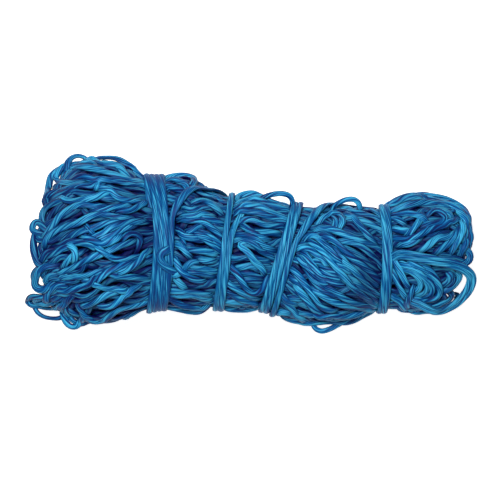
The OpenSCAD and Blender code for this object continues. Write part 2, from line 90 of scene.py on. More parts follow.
# Twines that show on top of the bundle: X, Y and height over the skin of each bend.
SURFACE = {
    Place.FAN: (
        ((-197, -23, 1), (-206, -23, 3), (-213, -27, 3), (-217, -35, 3), (-217, -42, 2), (-212, -46, 2),
         (-205, -45, 1), (-199, -41, 0), (-193, -39, -2)),
        ((-211, -24), (-217, -29), (-218, -37), (-215, -44), (-209, -46), (-203, -44)),
        ((-180, -52, 1), (-186, -58, 2), (-194, -64, 3), (-204, -65, 3), (-214, -63, 2), (-221, -61, 2),
         (-224, -58, 1), (-220, -53, 1), (-212, -54, 1), (-203, -54, 0), (-192, -52, -1)),
        ((-217, -62), (-215.5, -68), (-209, -73), (-200, -75), (-191, -74.5), (-184, -70, -2)),
        ((-197, -60, -2), (-206, -60), (-214, -59.5), (-217, -57.5), (-214, -55.5), (-206, -56, -2)),
        ((-186, -63, -1), (-184, -69, 1), (-179.5, -77, 1), (-173, -81)),
        ((-207, 4, -3), (-210, -4, -1), (-210.5, -12, -1)),
        ((-195, -31, -1), (-201, -31, 1), (-205.5, -33.5, 1), (-206.5, -37.5, 1), (-203, -40, -1)),
        ((-188, -62), (-188.5, -70, 1), (-186.5, -78, 1), (-181, -83.5, 1), (-175, -82.5, 1), (-170, -76),
         (-164, -68, -2)),
        ((-171, -66), (-166, -73, 1), (-158, -77, 1), (-150, -77, 2), (-142, -72, 2), (-133, -66, 2),
         (-120, -63, 1), (-108, -59), (-100, -56, -1)),
        ((-169, -63, 1), (-160, -60, 2), (-150, -54, 2), (-143, -50, 1), (-130, -46)),
        ((-150, -63), (-141, -63, 2), (-134, -58, 3), (-127, -51, 2), (-121, -46, 1), (-112, -42, -1)),
        ((-192, -29), (-183, -26, 2), (-172, -20, 3), (-160, -14, 3), (-150, -10, 3), (-142, -7, 2),
         (-134, -3, 1), (-120, 2)),
        ((-155, -4, 2), (-150, -8, 4), (-144, -12, 4), (-139, -15, 3), (-130, -16, 1), (-115, -15),
         (-100, -13, -1)),
        ((-199, -47, -2), (-194, -46, 1), (-186, -48, 2), (-176, -45, 3), (-167, -42, 3), (-160, -38, 3),
         (-154, -34, 1)),
        ((-166, -37, 2), (-158, -40, 3), (-150, -44, 2), (-140, -46, 1), (-125, -47)),
        ((-206, -57, 2), (-204, -50, 3), (-200, -44, 3), (-194, -41, 3), (-188, -42, 2)),
        ((-156, -36, 3), (-150, -32, 4), (-143, -27, 4), (-136, -24, 3), (-125, -20, 1), (-110, -15)),
        ((-132, -29, 3), (-124, -26, 3), (-117, -20, 3), (-111, -14, 2), (-104, -8)),
        ((-196, -36, -2), (-190, -33, 1), (-180, -33, 1), (-170, -33, 2), (-160, -30, 2), (-150, -28, 1),
         (-140, -30, 1), (-125, -33), (-105, -36, -1)),
        ((-182, -2, 3), (-178, -5, 4), (-176, -10, 4), (-178, -16, 3)),
        ((-188, -22, 2), (-184, -17, 3), (-179, -13, 4), (-173, -10, 2)),
        ((-204, -13, -2), (-198, -10, 1), (-190, -5, 2), (-183, -2, 2)),
        ((-206, 9, 1), (-200, 17, 2), (-195, 24, 3), (-187, 32, 3), (-178, 37, 3), (-168, 39, 3),
         (-158, 37, 2), (-146, 36, 1)),
        ((-208, -2, 1), (-206, 4, 2), (-201, 10, 3), (-193, 14, 2), (-183, 18, 2), (-175, 20, 3),
         (-166, 25, 3), (-158, 28, 2), (-145, 29, 1), (-135, 26, 1), (-122, 25)),
        ((-209, 19, -4), (-210.5, 26, -1), (-208.5, 33, 1), (-203, 38, 2), (-195, 41, 2), (-188, 44, 2),
         (-180, 48, 1)),
        ((-204, 46), (-197, 49.5, 1), (-188, 53, 2), (-178, 57, 3), (-168, 58, 3), (-160, 57, 2),
         (-155, 60, 2), (-148, 62, 1)),
        ((-153, 56, 2), (-146, 55, 3), (-140, 51, 3), (-133, 45, 3), (-125, 43, 2), (-110, 42)),
        ((-200, 48, 1), (-190, 50, 1), (-180, 52, 1), (-165, 49, 1), (-150, 47, 1), (-140, 44)),
        ((-197, 44, 1), (-190, 45, 2), (-180, 42, 2), (-172, 43, 2), (-160, 46, 3), (-150, 48, 2),
         (-143, 50, 1)),
        ((-178, 65), (-170, 67, 2), (-163, 65, 3), (-155, 62, 3), (-145, 63, 3), (-135, 63, 3),
         (-125, 60, 2), (-112, 59, 1), (-103, 56)),
        ((-185, 70, -2), (-182, 74, 1), (-175, 77, 2), (-165, 76, 3), (-155, 74, 3), (-145, 71, 3),
         (-135, 68, 3), (-125, 64, 2), (-110, 61, 1)),
        ((-170, 62), (-180, 60, 1), (-190, 61, 2), (-195.5, 63.5, 2), (-197.5, 67.5, 2),
         (-195.5, 71.5, 2), (-191, 74.5, 2), (-184, 77.5, 2), (-175, 80, 1), (-160, 80)),
        ((-184, 80), (-181, 85.5), (-174, 88), (-167, 85.5), (-163, 81)),
        ((-205, 42, -1), (-205, 49), (-203.5, 56), (-202.5, 61), (-201.5, 66), (-197, 71.5), (-191, 75),
         (-184, 77, -2)),
        ((-163, 82, 1), (-155, 85, 2), (-145, 86, 2), (-135, 85, 2), (-128, 81, 2), (-122, 77, 2),
         (-115, 70, 1), (-108, 64)),
        ((-160, 85, 1), (-150, 80, 2), (-140, 79, 3), (-132, 76, 3), (-128, 70, 3), (-125, 67, 1)),
        ((-132, 33, 2), (-122, 33, 3), (-114, 37, 3), (-110, 40, 2)),
        ((-157, 33, 2), (-148, 35, 2), (-138, 36, 2), (-125, 38, 1)),
        ((-160, 7, 1), (-150, 9, 2), (-142, 15, 3), (-133, 18, 2), (-122, 20, 1), (-108, 22)),
        ((-188, 3), (-180, 8, 1), (-171, 12, 2), (-162, 14.5, 2), (-154, 17.5, 2), (-145, 20.5, 2),
         (-134, 22, 1)),
        ((-190, -1), (-180, 1, 1), (-170, 1, 1), (-162, -1, 1), (-156, -3)),
        ((-153, 4, 2), (-143, 7, 3), (-135, 10, 3), (-128, 15, 2), (-120, 18, 1)),
        ((-128, 6, 2), (-122, 10, 3), (-115, 9, 3), (-111, 4, 2), (-113, 0)),
        ((-167, 6, 2), (-158, 3, 3), (-150, -1, 2), (-140, 3, 3), (-133, 7, 2)),
        ((-206, 13), (-212.5, 21), (-217, 21.5), (-220, 16), (-218.5, 11), (-213, 10, -1)),
        ((-217, 9), (-218.5, 2), (-218, -9), (-215, -19), (-210, -24)),
    ),
    Place.BAY_1: (
        ((-90, 63), (-82, 66.5, 1), (-73, 68.5, 1), (-64, 68, 1), (-58.5, 65, 1), (-58, 61, 1), (-62, 57),
         (-67, 55, -1)),
        ((-88, 62, 1), (-80, 64, 2), (-72, 62, 2), (-66, 58, 2), (-65, 54)),
        ((-88, 57, 1), (-80, 56, 2), (-72, 53, 2), (-66, 51, 1), (-60, 49, -1)),
        ((-83, 46, 1), (-77, 43, 2), (-72, 42, 1)),
        ((-57, 42, 1), (-50, 43, 2), (-44, 41, 2), (-38, 37, 1), (-34, 34)),
        ((-66, 35, 1), (-60, 33, 2), (-54, 35, 1), (-46, 36, 1)),
        ((-68, 28, 1), (-60, 27, 2), (-52, 28, 1), (-42, 27)),
        ((-70, 24, 1), (-62, 23, 2), (-54, 23, 3), (-47, 20, 3), (-40, 15, 3), (-34, 10, 2), (-30, 5)),
        ((-50, 27, 1), (-42, 24, 2), (-36, 22, 1), (-30, 20)),
        ((-72, 12, 2), (-68, 8, 3), (-62, 6, 2), (-54, 5, 1), (-46, 4, 1), (-38, 1)),
        ((-65, 11, 2), (-60, 13, 3), (-55, 16, 2), (-50, 17, 1)),
        ((-56, 9, 2), (-50, 7, 3), (-44, 3, 3), (-38, -2, 2), (-33, -7, 1)),
        ((-52, 12, 2), (-44, 8, 3), (-38, 3, 3), (-32, -2, 1)),
        ((-62, -6, 1), (-54, -7, 2), (-46, -8, 2), (-38, -10, 1)),
        ((-74, -1, 2), (-70, -3, 3), (-67, -7, 3), (-64, -10, 2), (-63, -12)),
        ((-77, -16, 2), (-74, -22, 4), (-70, -27, 4), (-65, -32, 3), (-58, -36, 1), (-50, -38)),
        ((-80, -32, 2), (-74, -31, 3), (-70, -28, 3), (-66, -24, 3), (-62, -19, 3), (-56, -18, 1)),
        ((-60, -24, 1), (-52, -25, 2), (-44, -26, 2), (-38, -28, 1)),
        ((-62, -27, 1), (-50, -30, 1), (-42, -32)),
        ((-50, -17, 1), (-44, -17, 2), (-40, -17, 1)),
        ((-76, -36, 1), (-72, -40, 2), (-68, -44, 1)),
        ((-82, -47, 1), (-72, -48, 2), (-60, -48, 2), (-50, -50, 2), (-44, -51, 1)),
        ((-80, -51, 1), (-70, -52, 1), (-60, -51, 1), (-50, -55, 1), (-43, -56)),
        ((-84, -50, 1), (-78, -57, 2), (-70, -61, 2), (-60, -64, 2), (-50, -64, 1), (-44, -61)),
        ((-88, -62), (-76, -65), (-62, -67), (-53, -69), (-47, -66)),
    ),
    Place.BAY_2: (
        ((-16, 44), (-11, 48, 1), (-4, 50, 1), (3, 50, 1), (10, 47, 1), (18, 43, 1), (26, 40, 1),
         (34, 38)),
        ((-15, 40, 1), (-8, 43, 2), (0, 44, 2), (8, 43, 2), (16, 40, 2), (26, 36, 2), (34, 33, 1)),
        ((-15, 35, 1), (-5, 37, 2), (5, 38, 2), (12, 35, 2), (20, 31, 2), (28, 27, 2), (35, 24, 1)),
        ((-15, 31, 1), (-5, 32, 1), (5, 31, 1), (15, 27, 1), (25, 24, 1), (34, 21)),
        ((-14, 21, 1), (-8, 24, 2), (0, 24, 2), (6, 21, 2), (14, 18, 2), (22, 18, 1), (30, 17)),
        ((-8, 17, 2), (-3, 13, 3), (3, 9, 3), (8, 6, 2), (14, 4, 1)),
        ((2, 12, 1), (10, 11, 2), (18, 11, 2), (25, 10, 1)),
        ((-19, 9, 1), (-12, 8, 2), (-5, 7, 3), (2, 4, 3), (8, 0, 3), (14, -4, 2), (20, -7, 1)),
        ((-18, 3), (-10, 4, 1), (-3, 3, 2), (3, -1, 2), (8, -7, 1), (16, -11, 1), (22, -14)),
        ((10, -27, 1), (5, -21, 3), (0, -14, 4), (-5, -8, 4), (-10, -4, 4), (-13, -2, 3), (-11, 1, 2),
         (-5, 1, 1), (1, -3)),
        ((-22, -14, 1), (-14, -15, 2), (-6, -14, 1), (4, -15, 1), (14, -18)),
        ((-14, -24, 1), (-6, -23, 2), (0, -22, 2), (8, -26, 1)),
        ((-20, -24, 1), (-15, -30, 3), (-10, -38, 4), (-5, -46, 4), (1, -50, 4), (7, -49, 4),
         (12, -43, 3), (15, -36, 2)),
        ((-26, -38, 1), (-18, -44, 2), (-10, -49, 2), (-2, -53, 1), (5, -55)),
        ((-26, -47, 1), (-18, -52, 1), (-8, -57, 1), (2, -60)),
        ((-28, -57, 1), (-20, -58, 2), (-10, -59, 1), (0, -60)),
        ((-29, -64), (-20, -66), (-10, -66), (0, -66), (8, -63)),
        ((-6, -36, 1), (2, -37, 1), (8, -39)),
        ((-8, -29, 1), (0, -31, 1), (8, -34)),
    ),
    Place.BAY_3: (
        ((66, 20, 1), (71, 25, 3), (77, 28.5, 4), (83, 30.5, 4), (88.5, 28.5, 4), (91, 23.5, 4),
         (89.5, 18, 3), (86, 14.5, 1)),
        ((81, 27, 1), (84, 23.5, 3), (84.5, 19, 3), (82.5, 15, 1)),
        ((70, 33, 1), (78, 35.5, 2), (87, 36, 2), (96, 34, 2), (104, 31, 2), (112, 29, 1), (120, 27, 1),
         (128, 23)),
        ((105, 34), (111, 34, 1), (117, 34, 1), (122, 32, 1), (128, 28, 1)),
        ((95, 29, 2), (100, 26, 3), (106, 20, 3), (112, 13, 3), (117, 6, 2), (122, 1, 1)),
        ((96, 24, 2), (106, 24, 2), (114, 21, 2), (122, 17, 1), (130, 12)),
        ((65, 14, 1), (72, 15, 2), (80, 14, 3), (88, 11, 3), (96, 7, 3), (104, 4, 3), (112, 1, 2),
         (122, -3, 1), (130, -8)),
        ((53, 5, 1), (57, 8, 2), (62, 8.5, 3), (67, 5, 3), (72, 0, 3), (77, -6, 3), (82, -13, 3),
         (88, -20, 2)),
        ((70, 8, 2), (78, 5, 3), (84, 1, 4), (90, -5, 4), (97, -12, 4), (105, -18, 3), (113, -24, 3),
         (121, -31, 2), (129, -38, 1)),
        ((88, 2, 2), (96, 2, 3), (104, 0, 3), (111, -4, 3), (118, -10, 2), (125, -17, 1), (130, -24)),
        ((60, 1, 2), (66, -4, 3), (72, -10, 4), (78, -17, 4), (85, -25, 4), (92, -34, 4), (99, -42, 3),
         (107, -49, 3), (116, -56, 2), (124, -62, 1)),
        ((82, -6, 2), (88, -14, 3), (95, -21, 3), (103, -29, 3), (111, -37, 2), (119, -45, 2),
         (127, -52, 1)),
        ((76, -8, 2), (83, -16, 2), (90, -22, 2), (97, -28, 2)),
        ((46, -5, 1), (52, -4, 3), (58, -6, 3), (63, -10, 3), (68, -14, 2), (74, -20, 1)),
        ((44, -16, 2), (50, -17, 2), (56, -15, 2)),
        ((62, -17, 2), (68, -17, 2), (74, -19, 1)),
        ((52, -10, 2), (57, -16, 3), (62, -24, 3), (67, -31, 3), (73, -36, 2), (82, -39, 2),
         (90, -41, 1)),
        ((48, -16, 2), (54, -22, 3), (60, -29, 3), (66, -36, 2), (74, -40, 2)),
        ((70, -28, 2), (75, -32, 2), (82, -35, 2), (88, -36, 1)),
        ((40, -25, 1), (45, -30, 3), (50, -37, 4), (56, -45, 4), (61, -52, 4), (66, -60, 3), (72, -65, 2),
         (80, -67, 1)),
        ((44, -41, 1), (48, -47, 3), (53, -54, 4), (58, -61, 4), (63, -67, 3), (68, -71, 2),
         (76, -74, 1)),
        ((62, -46, 2), (68, -50, 3), (75, -55, 3), (83, -59, 3), (92, -62, 2), (102, -64, 2),
         (112, -65, 1), (122, -65)),
        ((74, -42, 2), (80, -46, 3), (86, -51, 3), (94, -56, 3), (103, -60, 2), (112, -63, 1),
         (121, -64)),
        ((62, -70, 1), (72, -72, 2), (84, -72, 2), (96, -72, 1), (106, -70, 1), (116, -66)),
        ((34, -74), (44, -77), (54, -79), (66, -79), (80, -79, 1), (92, -79), (102, -77), (112, -71),
         (120, -67)),
        ((24, -70, 1), (30, -68, 2), (36, -70, 1)),
        ((35, -60, 1), (40, -65, 2), (45, -71, 2), (52, -76, 1)),
        ((37, -55, 2), (42, -54, 2), (46, -56, 1)),
        ((50, -70, 1), (58, -70, 2), (64, -71, 1)),
        ((28, -50, 1), (35, -56, 1), (42, -60, 1)),
        ((92, -4), (100, -8, 1), (108, -13, 1), (116, -20, 1), (124, -27)),
        ((100, -19), (108, -26, 1), (116, -34, 1), (124, -42)),
        ((96, -32), (104, -39, 1), (112, -46, 1), (120, -53, 1), (126, -58)),
        ((70, -24, 1), (77, -27, 2), (85, -31, 1), (92, -37)),
        ((56, -28, 1), (62, -37, 2), (69, -44, 2), (78, -49, 1), (87, -53)),
        ((38, -33, 1), (43, -38, 2), (49, -43, 1)),
    ),
    Place.TAIL: (
        ((133, 36), (139, 41, 1), (146, 45.5, 1), (155, 48, 2), (163, 48.5, 2), (169, 47, 1)),
        ((136, 36, 1), (143, 40, 2), (152, 45, 2), (160, 46, 2), (168, 46, 1)),
        ((138, 32, 1), (146, 35, 2), (155, 38, 2), (165, 40, 2), (175, 41, 2), (185, 40, 2),
         (195, 37, 1)),
        ((168, 49, 1), (178, 48, 2), (188, 46, 2), (197, 43, 2), (206, 39, 2), (212, 34.5, 2),
         (214.5, 28, 2), (216, 19.5, 1), (216.5, 10, 1), (215.5, 0)),
        ((176, 46, 1), (186, 42, 2), (196, 38, 2), (204, 34.5, 3), (210, 29, 3), (212.5, 20, 2),
         (213, 10, 2), (212, 0, 1)),
        ((142, 29, 1), (150, 30, 2), (158, 30, 3), (166, 28, 3), (172, 24, 3), (175, 20, 1)),
        ((176, 30, 2), (182, 33, 3), (189, 32, 3), (193, 27, 3), (192, 22, 3), (186, 20, 3), (178, 20, 2),
         (170, 18, 1)),
        ((191, 32, 3), (197, 30, 3), (200, 25, 2), (197, 21, 1)),
        ((140, 26, 1), (146, 24, 2), (150, 21, 1)),
        ((142, 15, 1), (150, 13, 2), (156, 12, 2)),
        ((157, 11, 2), (163, 16, 3), (167, 22, 3), (170, 26, 2)),
        ((142, 5, 1), (150, 4, 2), (158, 3, 2), (166, 6, 3), (172, 11, 3), (180, 15, 3), (190, 18, 3),
         (198, 22, 2), (205, 24, 1)),
        ((150, -1, 1), (156, 0, 2), (162, 3, 2), (168, 7, 2)),
        ((170, -6, 2), (176, -2, 3), (182, 3, 3), (188, 6, 3), (196, 6, 2), (203, 10, 1)),
        ((185, -8, 1), (192, -3, 2), (198, 2, 2), (204, 8, 2), (208, 15, 1)),
        ((200, -6, 1), (204, 0, 2), (208, 8, 3), (211, 16, 3), (212, 24, 2)),
        ((209, -9, 1), (212, -2, 2), (214.5, 6, 1)),
        ((168, -61), (180, -60.5, 1), (190, -59, 1), (198, -55.5, 1), (200, -51), (196, -48, -2),
         (190, -47, -4)),
        ((205, -1), (212, -4), (216.5, -8), (218.5, -13), (216.5, -18), (209, -21)),
        ((150, -20, 2), (158, -22, 3), (166, -27, 3), (173, -35, 3), (176, -43, 3), (172, -50, 3),
         (166, -52, 2)),
        ((163, -20, 2), (172, -23, 3), (180, -30, 3), (186, -40, 3), (188, -48, 3), (184, -54, 2),
         (172, -56, 2), (163, -54, 1)),
        ((152, -25, 2), (160, -28, 2), (166, -34, 2), (169, -42, 2), (165, -47, 2), (159, -48, 1)),
        ((158, -20, 2), (167, -24, 3), (175, -32, 3), (181, -42, 3), (179, -51, 3), (170, -54, 2)),
        ((143, -16, 2), (147, -24, 3), (150, -32, 3), (154, -40, 2), (157, -46, 1)),
        ((140, -26, 1), (144, -36, 2), (149, -46, 2), (153, -52, 1)),
        ((161, -46, 3), (158, -53, 4), (156, -58, 3), (155, -62)),
        ((140, -52, 1), (148, -58, 1), (152, -63)),
        ((157, -66), (165, -69), (175, -68), (185, -66), (195, -63, 1), (203, -59, 1)),
        ((160, -60, 1), (170, -63, 1), (180, -66)),
        ((182, -24, 1), (192, -25, 1), (200, -28, 1), (206, -32)),
        ((196, -26, 1), (199, -32, 1), (196, -38, 1), (190, -42)),
        ((202, -28, 1), (206.5, -32, 1), (206, -37, 1), (201, -42, 1), (194, -46)),
        ((195, -29, -1), (200.5, -33), (200, -38), (194, -43, -1)),
    ),
}


def unit(v: np.ndarray) -> np.ndarray:
    """Vectors of length one along the last axis."""
    return v / np.maximum(np.linalg.norm(v, axis=-1, keepdims=True), TINY)


def soften(values: np.ndarray, reach: float) -> np.ndarray:
    """Smooths a row of values with a bell-shaped kernel, which ends three reaches away.

    Args:
        values: The row.
        reach: The kernel's reach, in steps of the row.

    Returns:
        A row as long as the one given.
    """
    half = int(3 * reach)
    kernel = np.exp(-0.5 * (np.arange(-half, half + 1) / reach) ** 2)
    padded = np.pad(values, half, mode="edge")
    return np.convolve(padded, kernel / kernel.sum(), mode="valid")


def walk_along(line: np.ndarray) -> np.ndarray:
    """Distances along a line from its first point."""
    return np.concatenate([[0], np.cumsum(np.linalg.norm(np.diff(line, axis=0), axis=1))])


def even_steps(points: np.ndarray, step: float, closed: bool = False, fewest: int = 4) -> np.ndarray:
    """Points at even steps along a line.

    Args:
        points: The line's own points.
        step: The distance wanted between neighbours.
        closed: Whether the line goes back to its start.
        fewest: The least number of steps.

    Returns:
        The new points, without a repeat of the first where the line is closed.
    """
    line = np.vstack([points, points[:1]]) if closed else points
    walk = walk_along(line)
    count = max(fewest, int(round(walk[-1] / step)))
    places = np.linspace(0, walk[-1], count + 1)
    places = places[:-1] if closed else places
    return np.stack([np.interp(places, walk, line[:, i]) for i in range(line.shape[1])], axis=1)


def smooth_line(points: np.ndarray, per_span: int = 8, closed: bool = False) -> np.ndarray:
    """A Catmull-Rom curve through points.

    Args:
        points: The points that the curve goes through.
        per_span: How many points it has from each of those to the next.
        closed: Whether it goes back to its start.

    Returns:
        The curve's own points.
    """
    if closed:
        p = np.vstack([points[-1:], points, points[:2]])
    else:
        p = np.vstack([2 * points[0] - points[1], points, 2 * points[-1] - points[-2]])
    t = np.linspace(0, 1, per_span, endpoint=False)[:, None]
    spans = [
        0.5 * (2 * b + (c - a) * t + (2 * a - 5 * b + 4 * c - d) * t**2 + (3 * b - a - 3 * c + d) * t**3)
        for a, b, c, d in zip(p, p[1:], p[2:], p[3:])
    ]
    return np.vstack(spans if closed else [*spans, points[-1:]])


def first_run(twine: int) -> int:
    """The number of an outer twine's first run, which is two before that of its other one."""
    return 4 * (twine // 2) + twine % 2


@dataclass
class Bundle:
    """The skin on which the outer twines' centres lie, bellied and drawn in under the bindings."""

    lengths: tuple = (120, 49, 45, 90, 86)
    turns: tuple = (4, 1.75, 2.75, 1.75)
    fan_peak: float = 58
    tail_peak: float = 58
    # Heights from tip to tip, of each belly and each binding, with two for the first and third binding.
    heights: tuple = (66, 100, 72, 72, 89, 66, 82, 62, 62, 85, 60, 82, 52)
    rest_z: float = 2.0
    neck_z: float = 10.2
    tip_z: float = 13
    squat: float = 0.12
    # Where the net is still full close to a binding: which one, how far before it and how high.
    shoulders: tuple = ((0, 20, 92), (3, 18, 77))
    bay_twist: float = 0.12
    band_leans: tuple = (0, 7, 16, 0)
    height_blend: float = 5
    width_blend: float = 3
    share_steps: int = 128
    ring_step: float = 3.0
    hold_reach: float = 24
    middle_share: float = 0.05
    # How far over the skin the light is full, how much further on top, and how far below that it is gone.
    bright_rise: float = 1.0
    top_rise: float = 2.0
    dark_depth: float = 6.5
    # Light that comes in at both ends: how far in it fails and is gone, the most shade before that, and
    # how much further in a place on top counts.
    end_light: tuple = (24, 48, 0.12, 18)
    # Spots of painted shade beyond what their depth gives, or of painted light where it is negative: X, Y,
    # the reach along both and the shade.
    painted_shade_spots: tuple = (
        (-114, 12, 18, 45, 0.25), (114, -32, 18, 38, 0.38), (-222, -15, 11, 55, 0.36),
        (-207, 45, 14, 25, 0.26), (-157, -56, 32, 20, -0.16), (-154, -12, 36, 20, -0.09),
    )
    # X and Y of both edges seen from above.
    far_edge: tuple = (
        (-228, 42), (-216, 49), (-204, 56), (-192, 66), (-182, 77), (-170, 85), (-140, 85), (-128, 81),
        (-110, 67), (-92, 66), (-70, 71), (-58, 68), (-46, 55), (-24, 47), (0, 51), (12, 47), (24, 42),
        (36, 39), (52, 38), (72, 38), (90, 37), (105, 36), (120, 36), (135, 36), (146, 49), (158, 52),
        (180, 49), (196, 45), (212, 37), (228, 24),
    )
    near_edge: tuple = (
        (-228, -56), (-216, -62), (-200, -67), (-188, -70), (-180, -75), (-170, -81), (-140, -81),
        (-120, -75), (-105, -67), (-90, -64), (-60, -69), (-36, -64), (-20, -67), (0, -66), (14, -66),
        (26, -74), (50, -79), (70, -80), (90, -80), (108, -75), (124, -67), (138, -67), (160, -70),
        (190, -66), (206, -59), (218, -51), (228, -40),
    )
    grid: np.ndarray = field(default_factory=lambda: np.arange(-240.0, 241.0))

    def __post_init__(self) -> None:
        """Works out the stations along X and the skin's rows, one value for each millimetre."""
        wide = [t * TIE_PITCH for t in self.turns]
        fan, bay_1, bay_2, bay_3, _ = self.lengths
        total = sum(self.lengths) + sum(wide)
        starts = np.cumsum([fan, wide[0] + bay_1, wide[1] + bay_2, wide[2] + bay_3]) - total / 2
        self.bands = [(s, s + w) for s, w in zip(starts, wide)]
        (a, a2), (b, b2), (c, c2), (d, d2) = self.bands
        self.tips = (-total / 2, total / 2)
        between = ((a2 + b) / 2, (b2 + c) / 2, (c2 + d) / 2)
        self.bays = (self.tips[0] + self.fan_peak, *between, self.tips[1] - self.tail_peak)
        xs = [self.tips[0], self.bays[0], a, a2, self.bays[1], (b + b2) / 2, self.bays[2], c, c2,
              self.bays[3], (d + d2) / 2, self.bays[4], self.tips[1]]
        rest, neck = self.rest_z, self.neck_z
        lows = [self.tip_z, rest, neck, neck, rest, neck, rest, neck, neck, rest, neck, rest, self.tip_z]
        tops = [z + h - TWINE_D for z, h in zip(lows, self.heights)]
        self.low = soften(np.interp(self.grid, xs, lows), self.height_blend)
        for band, before, top in self.shoulders:
            place = self.bands[band][0] - before
            here = int(np.searchsorted(xs, place))
            xs.insert(here, place)
            tops.insert(here, top)
        self.high = soften(np.interp(self.grid, xs, tops), self.height_blend)
        lean_x = [a2, self.bays[1], (b + b2) / 2, self.bays[2], c, c2, self.bays[3]]
        _, second, third, _ = self.band_leans
        leans = [0, second, second, second, third, third, 0]
        self.lean = soften(np.interp(self.grid, lean_x, leans), self.height_blend)
        self.twist = np.interp(self.grid, [c2, d], [0, self.bay_twist])
        far = np.interp(self.grid + self.lean, *zip(*self.far_edge))
        near = np.interp(self.grid - self.lean, *zip(*self.near_edge))
        self.sway = soften((far + near) / 2, self.width_blend)
        self.half = soften((far - near) / 2, self.width_blend) - TWINE_R
        self.shares = np.linspace(0, 1, self.share_steps + 1)
        self.round_angles = np.arange(-90.0, 271.0, self.ring_step)
        self.angles = np.stack([self._angles_by_share(x) for x in self.grid])

    def _angles_by_share(self, x: float) -> np.ndarray:
        """Angles at even shares of the girth, from the lowest point round.

        Args:
            x: The place along the bundle.

        Returns:
            One angle for each share.
        """
        ring = self.skin(np.full(self.round_angles.shape, x), self.round_angles)
        walk = walk_along(ring)
        return np.interp(self.shares * walk[-1], walk, self.round_angles)

    def at(self, row: np.ndarray, x: np.ndarray) -> np.ndarray:
        """A row's values at places along X."""
        return np.interp(x, self.grid, row)

    def skin(self, x: np.ndarray, angle: np.ndarray, out: np.ndarray | float = 0.0) -> np.ndarray:
        """Points on the skin.

        Args:
            x: Places along the bundle.
            angle: Angles round it.
            out: Distances outside the skin, or inside it where negative.

        Returns:
            One point for each place.
        """
        low, high = self.at(self.low, x) - out, self.at(self.high, x) + out
        half_h = (high - low) * (1 + self.squat) / 2
        c, s = np.cos(np.radians(angle)), np.sin(np.radians(angle))
        y = self.at(self.sway, x) + (self.at(self.half, x) + out) * c
        z = np.maximum(low, high - half_h + half_h * s)
        return np.stack([x + self.at(self.lean, x) * c, y, z], axis=-1)

    def angle_at(self, x: np.ndarray, share: np.ndarray) -> np.ndarray:
        """Angles at shares of the girth.

        Args:
            x: Places along the bundle.
            share: Shares of the girth there, counted from the lowest point.

        Returns:
            One angle for each place.
        """
        turn = np.floor(share)
        col = (share - turn) * (len(self.shares) - 1)
        row = np.clip(x - self.grid[0], 0, len(self.grid) - 1.001)
        i, j = row.astype(int), np.minimum(col.astype(int), len(self.shares) - 2)
        fi, fj = row - i, col - j
        t = self.angles
        near = t[i, j] * (1 - fj) + t[i, j + 1] * fj
        far = t[i + 1, j] * (1 - fj) + t[i + 1, j + 1] * fj
        return near * (1 - fi) + far * fi + 360 * turn

    def outward(self, x: np.ndarray, angle: np.ndarray) -> np.ndarray:
        """Directions out of the skin."""
        return unit(self.skin(x, angle, 1.0) - self.skin(x, angle, 0.0))

    def section(self, x: np.ndarray, y: np.ndarray, pad: np.ndarray | float = 0.0) -> tuple:
        """The leaning sections through points seen from above.

        Args:
            x: The points' places along the bundle.
            y: Their places across it.
            pad: How far outside the skin the sections lie.

        Returns:
            Each section's X, sway, half width, middle height and half height.
        """
        u = np.clip((y - self.at(self.sway, x)) / (self.at(self.half, x) + pad), -1, 1)
        x = x - self.at(self.lean, x) * u
        low, high = self.at(self.low, x), self.at(self.high, x) + pad
        half_h = (high - low) * (1 + self.squat) / 2
        return x, self.at(self.sway, x), self.at(self.half, x) + pad, high - half_h, half_h

    def over(self, route: np.ndarray) -> np.ndarray:
        """Points on top of the net.

        Args:
            route: X, Y and height over the skin of each point, which is depth where negative.

        Returns:
            The points, at their own X and Y unless they go under the skin.
        """
        x, y, lift = route.T
        _, sway, half, middle, half_h = self.section(x, y)
        u = np.clip((y - sway) / half, -1, 1)
        s = np.sqrt(1 - u * u)
        top = np.stack([x, y, middle + half_h * s + np.maximum(lift, 0) * s], axis=1)
        inward = unit(np.stack([np.zeros_like(x), -u / half, -s / half_h], axis=1))
        return top + inward * np.maximum(-lift, 0)[:, None]

    def normals(self, p: np.ndarray) -> np.ndarray:
        """Directions away from the bundle's middle.

        Args:
            p: Points in the bundle or on it.

        Returns:
            One direction for each point.
        """
        _, sway, half, middle, half_h = self.section(p[:, 0], p[:, 1])
        y, z = (p[:, 1] - sway) / half**2, (p[:, 2] - middle) / half_h**2
        return unit(np.stack([np.zeros_like(y), y, z], axis=1))

    def sunk(self, p: np.ndarray) -> np.ndarray:
        """How deep points lie under the light, which also comes in between the loops at both ends, as
        painted shade for the twine's colour, with the painted shade spots added.

        Args:
            p: Points in the bundle or on it.

        Returns:
            For each point, 0 where the light is full and 1 where none gets in.
        """
        _, sway, half, middle, half_h = self.section(p[:, 0], p[:, 1])
        y, z = p[:, 1] - sway, p[:, 2] - middle
        share = np.maximum(np.hypot(y / half, z / half_h), self.middle_share)
        rise = self.bright_rise + self.top_rise * np.clip(z / half_h / share, 0, 1)
        deep = ((1 - share) * np.hypot(y, z) / share + rise) / self.dark_depth
        near, far, least, top = self.end_light
        inside = np.minimum(p[:, 0] - self.tips[0], self.tips[1] - p[:, 0])
        inside = inside + top * np.clip(z / half_h, 0, 1)
        deep = np.minimum(np.clip(deep, 0, 1), np.interp(inside, [near, far], [least, 1]))
        # Painted shade at the listed spots, and painted light where the shade is negative.
        for spot_x, spot_y, long, wide, shade in self.painted_shade_spots:
            away = ((p[:, 0] - spot_x) / long) ** 2 + ((p[:, 1] - spot_y) / wide) ** 2
            deep = deep + shade * np.exp(-away)
        return np.clip(deep, 0, 1)

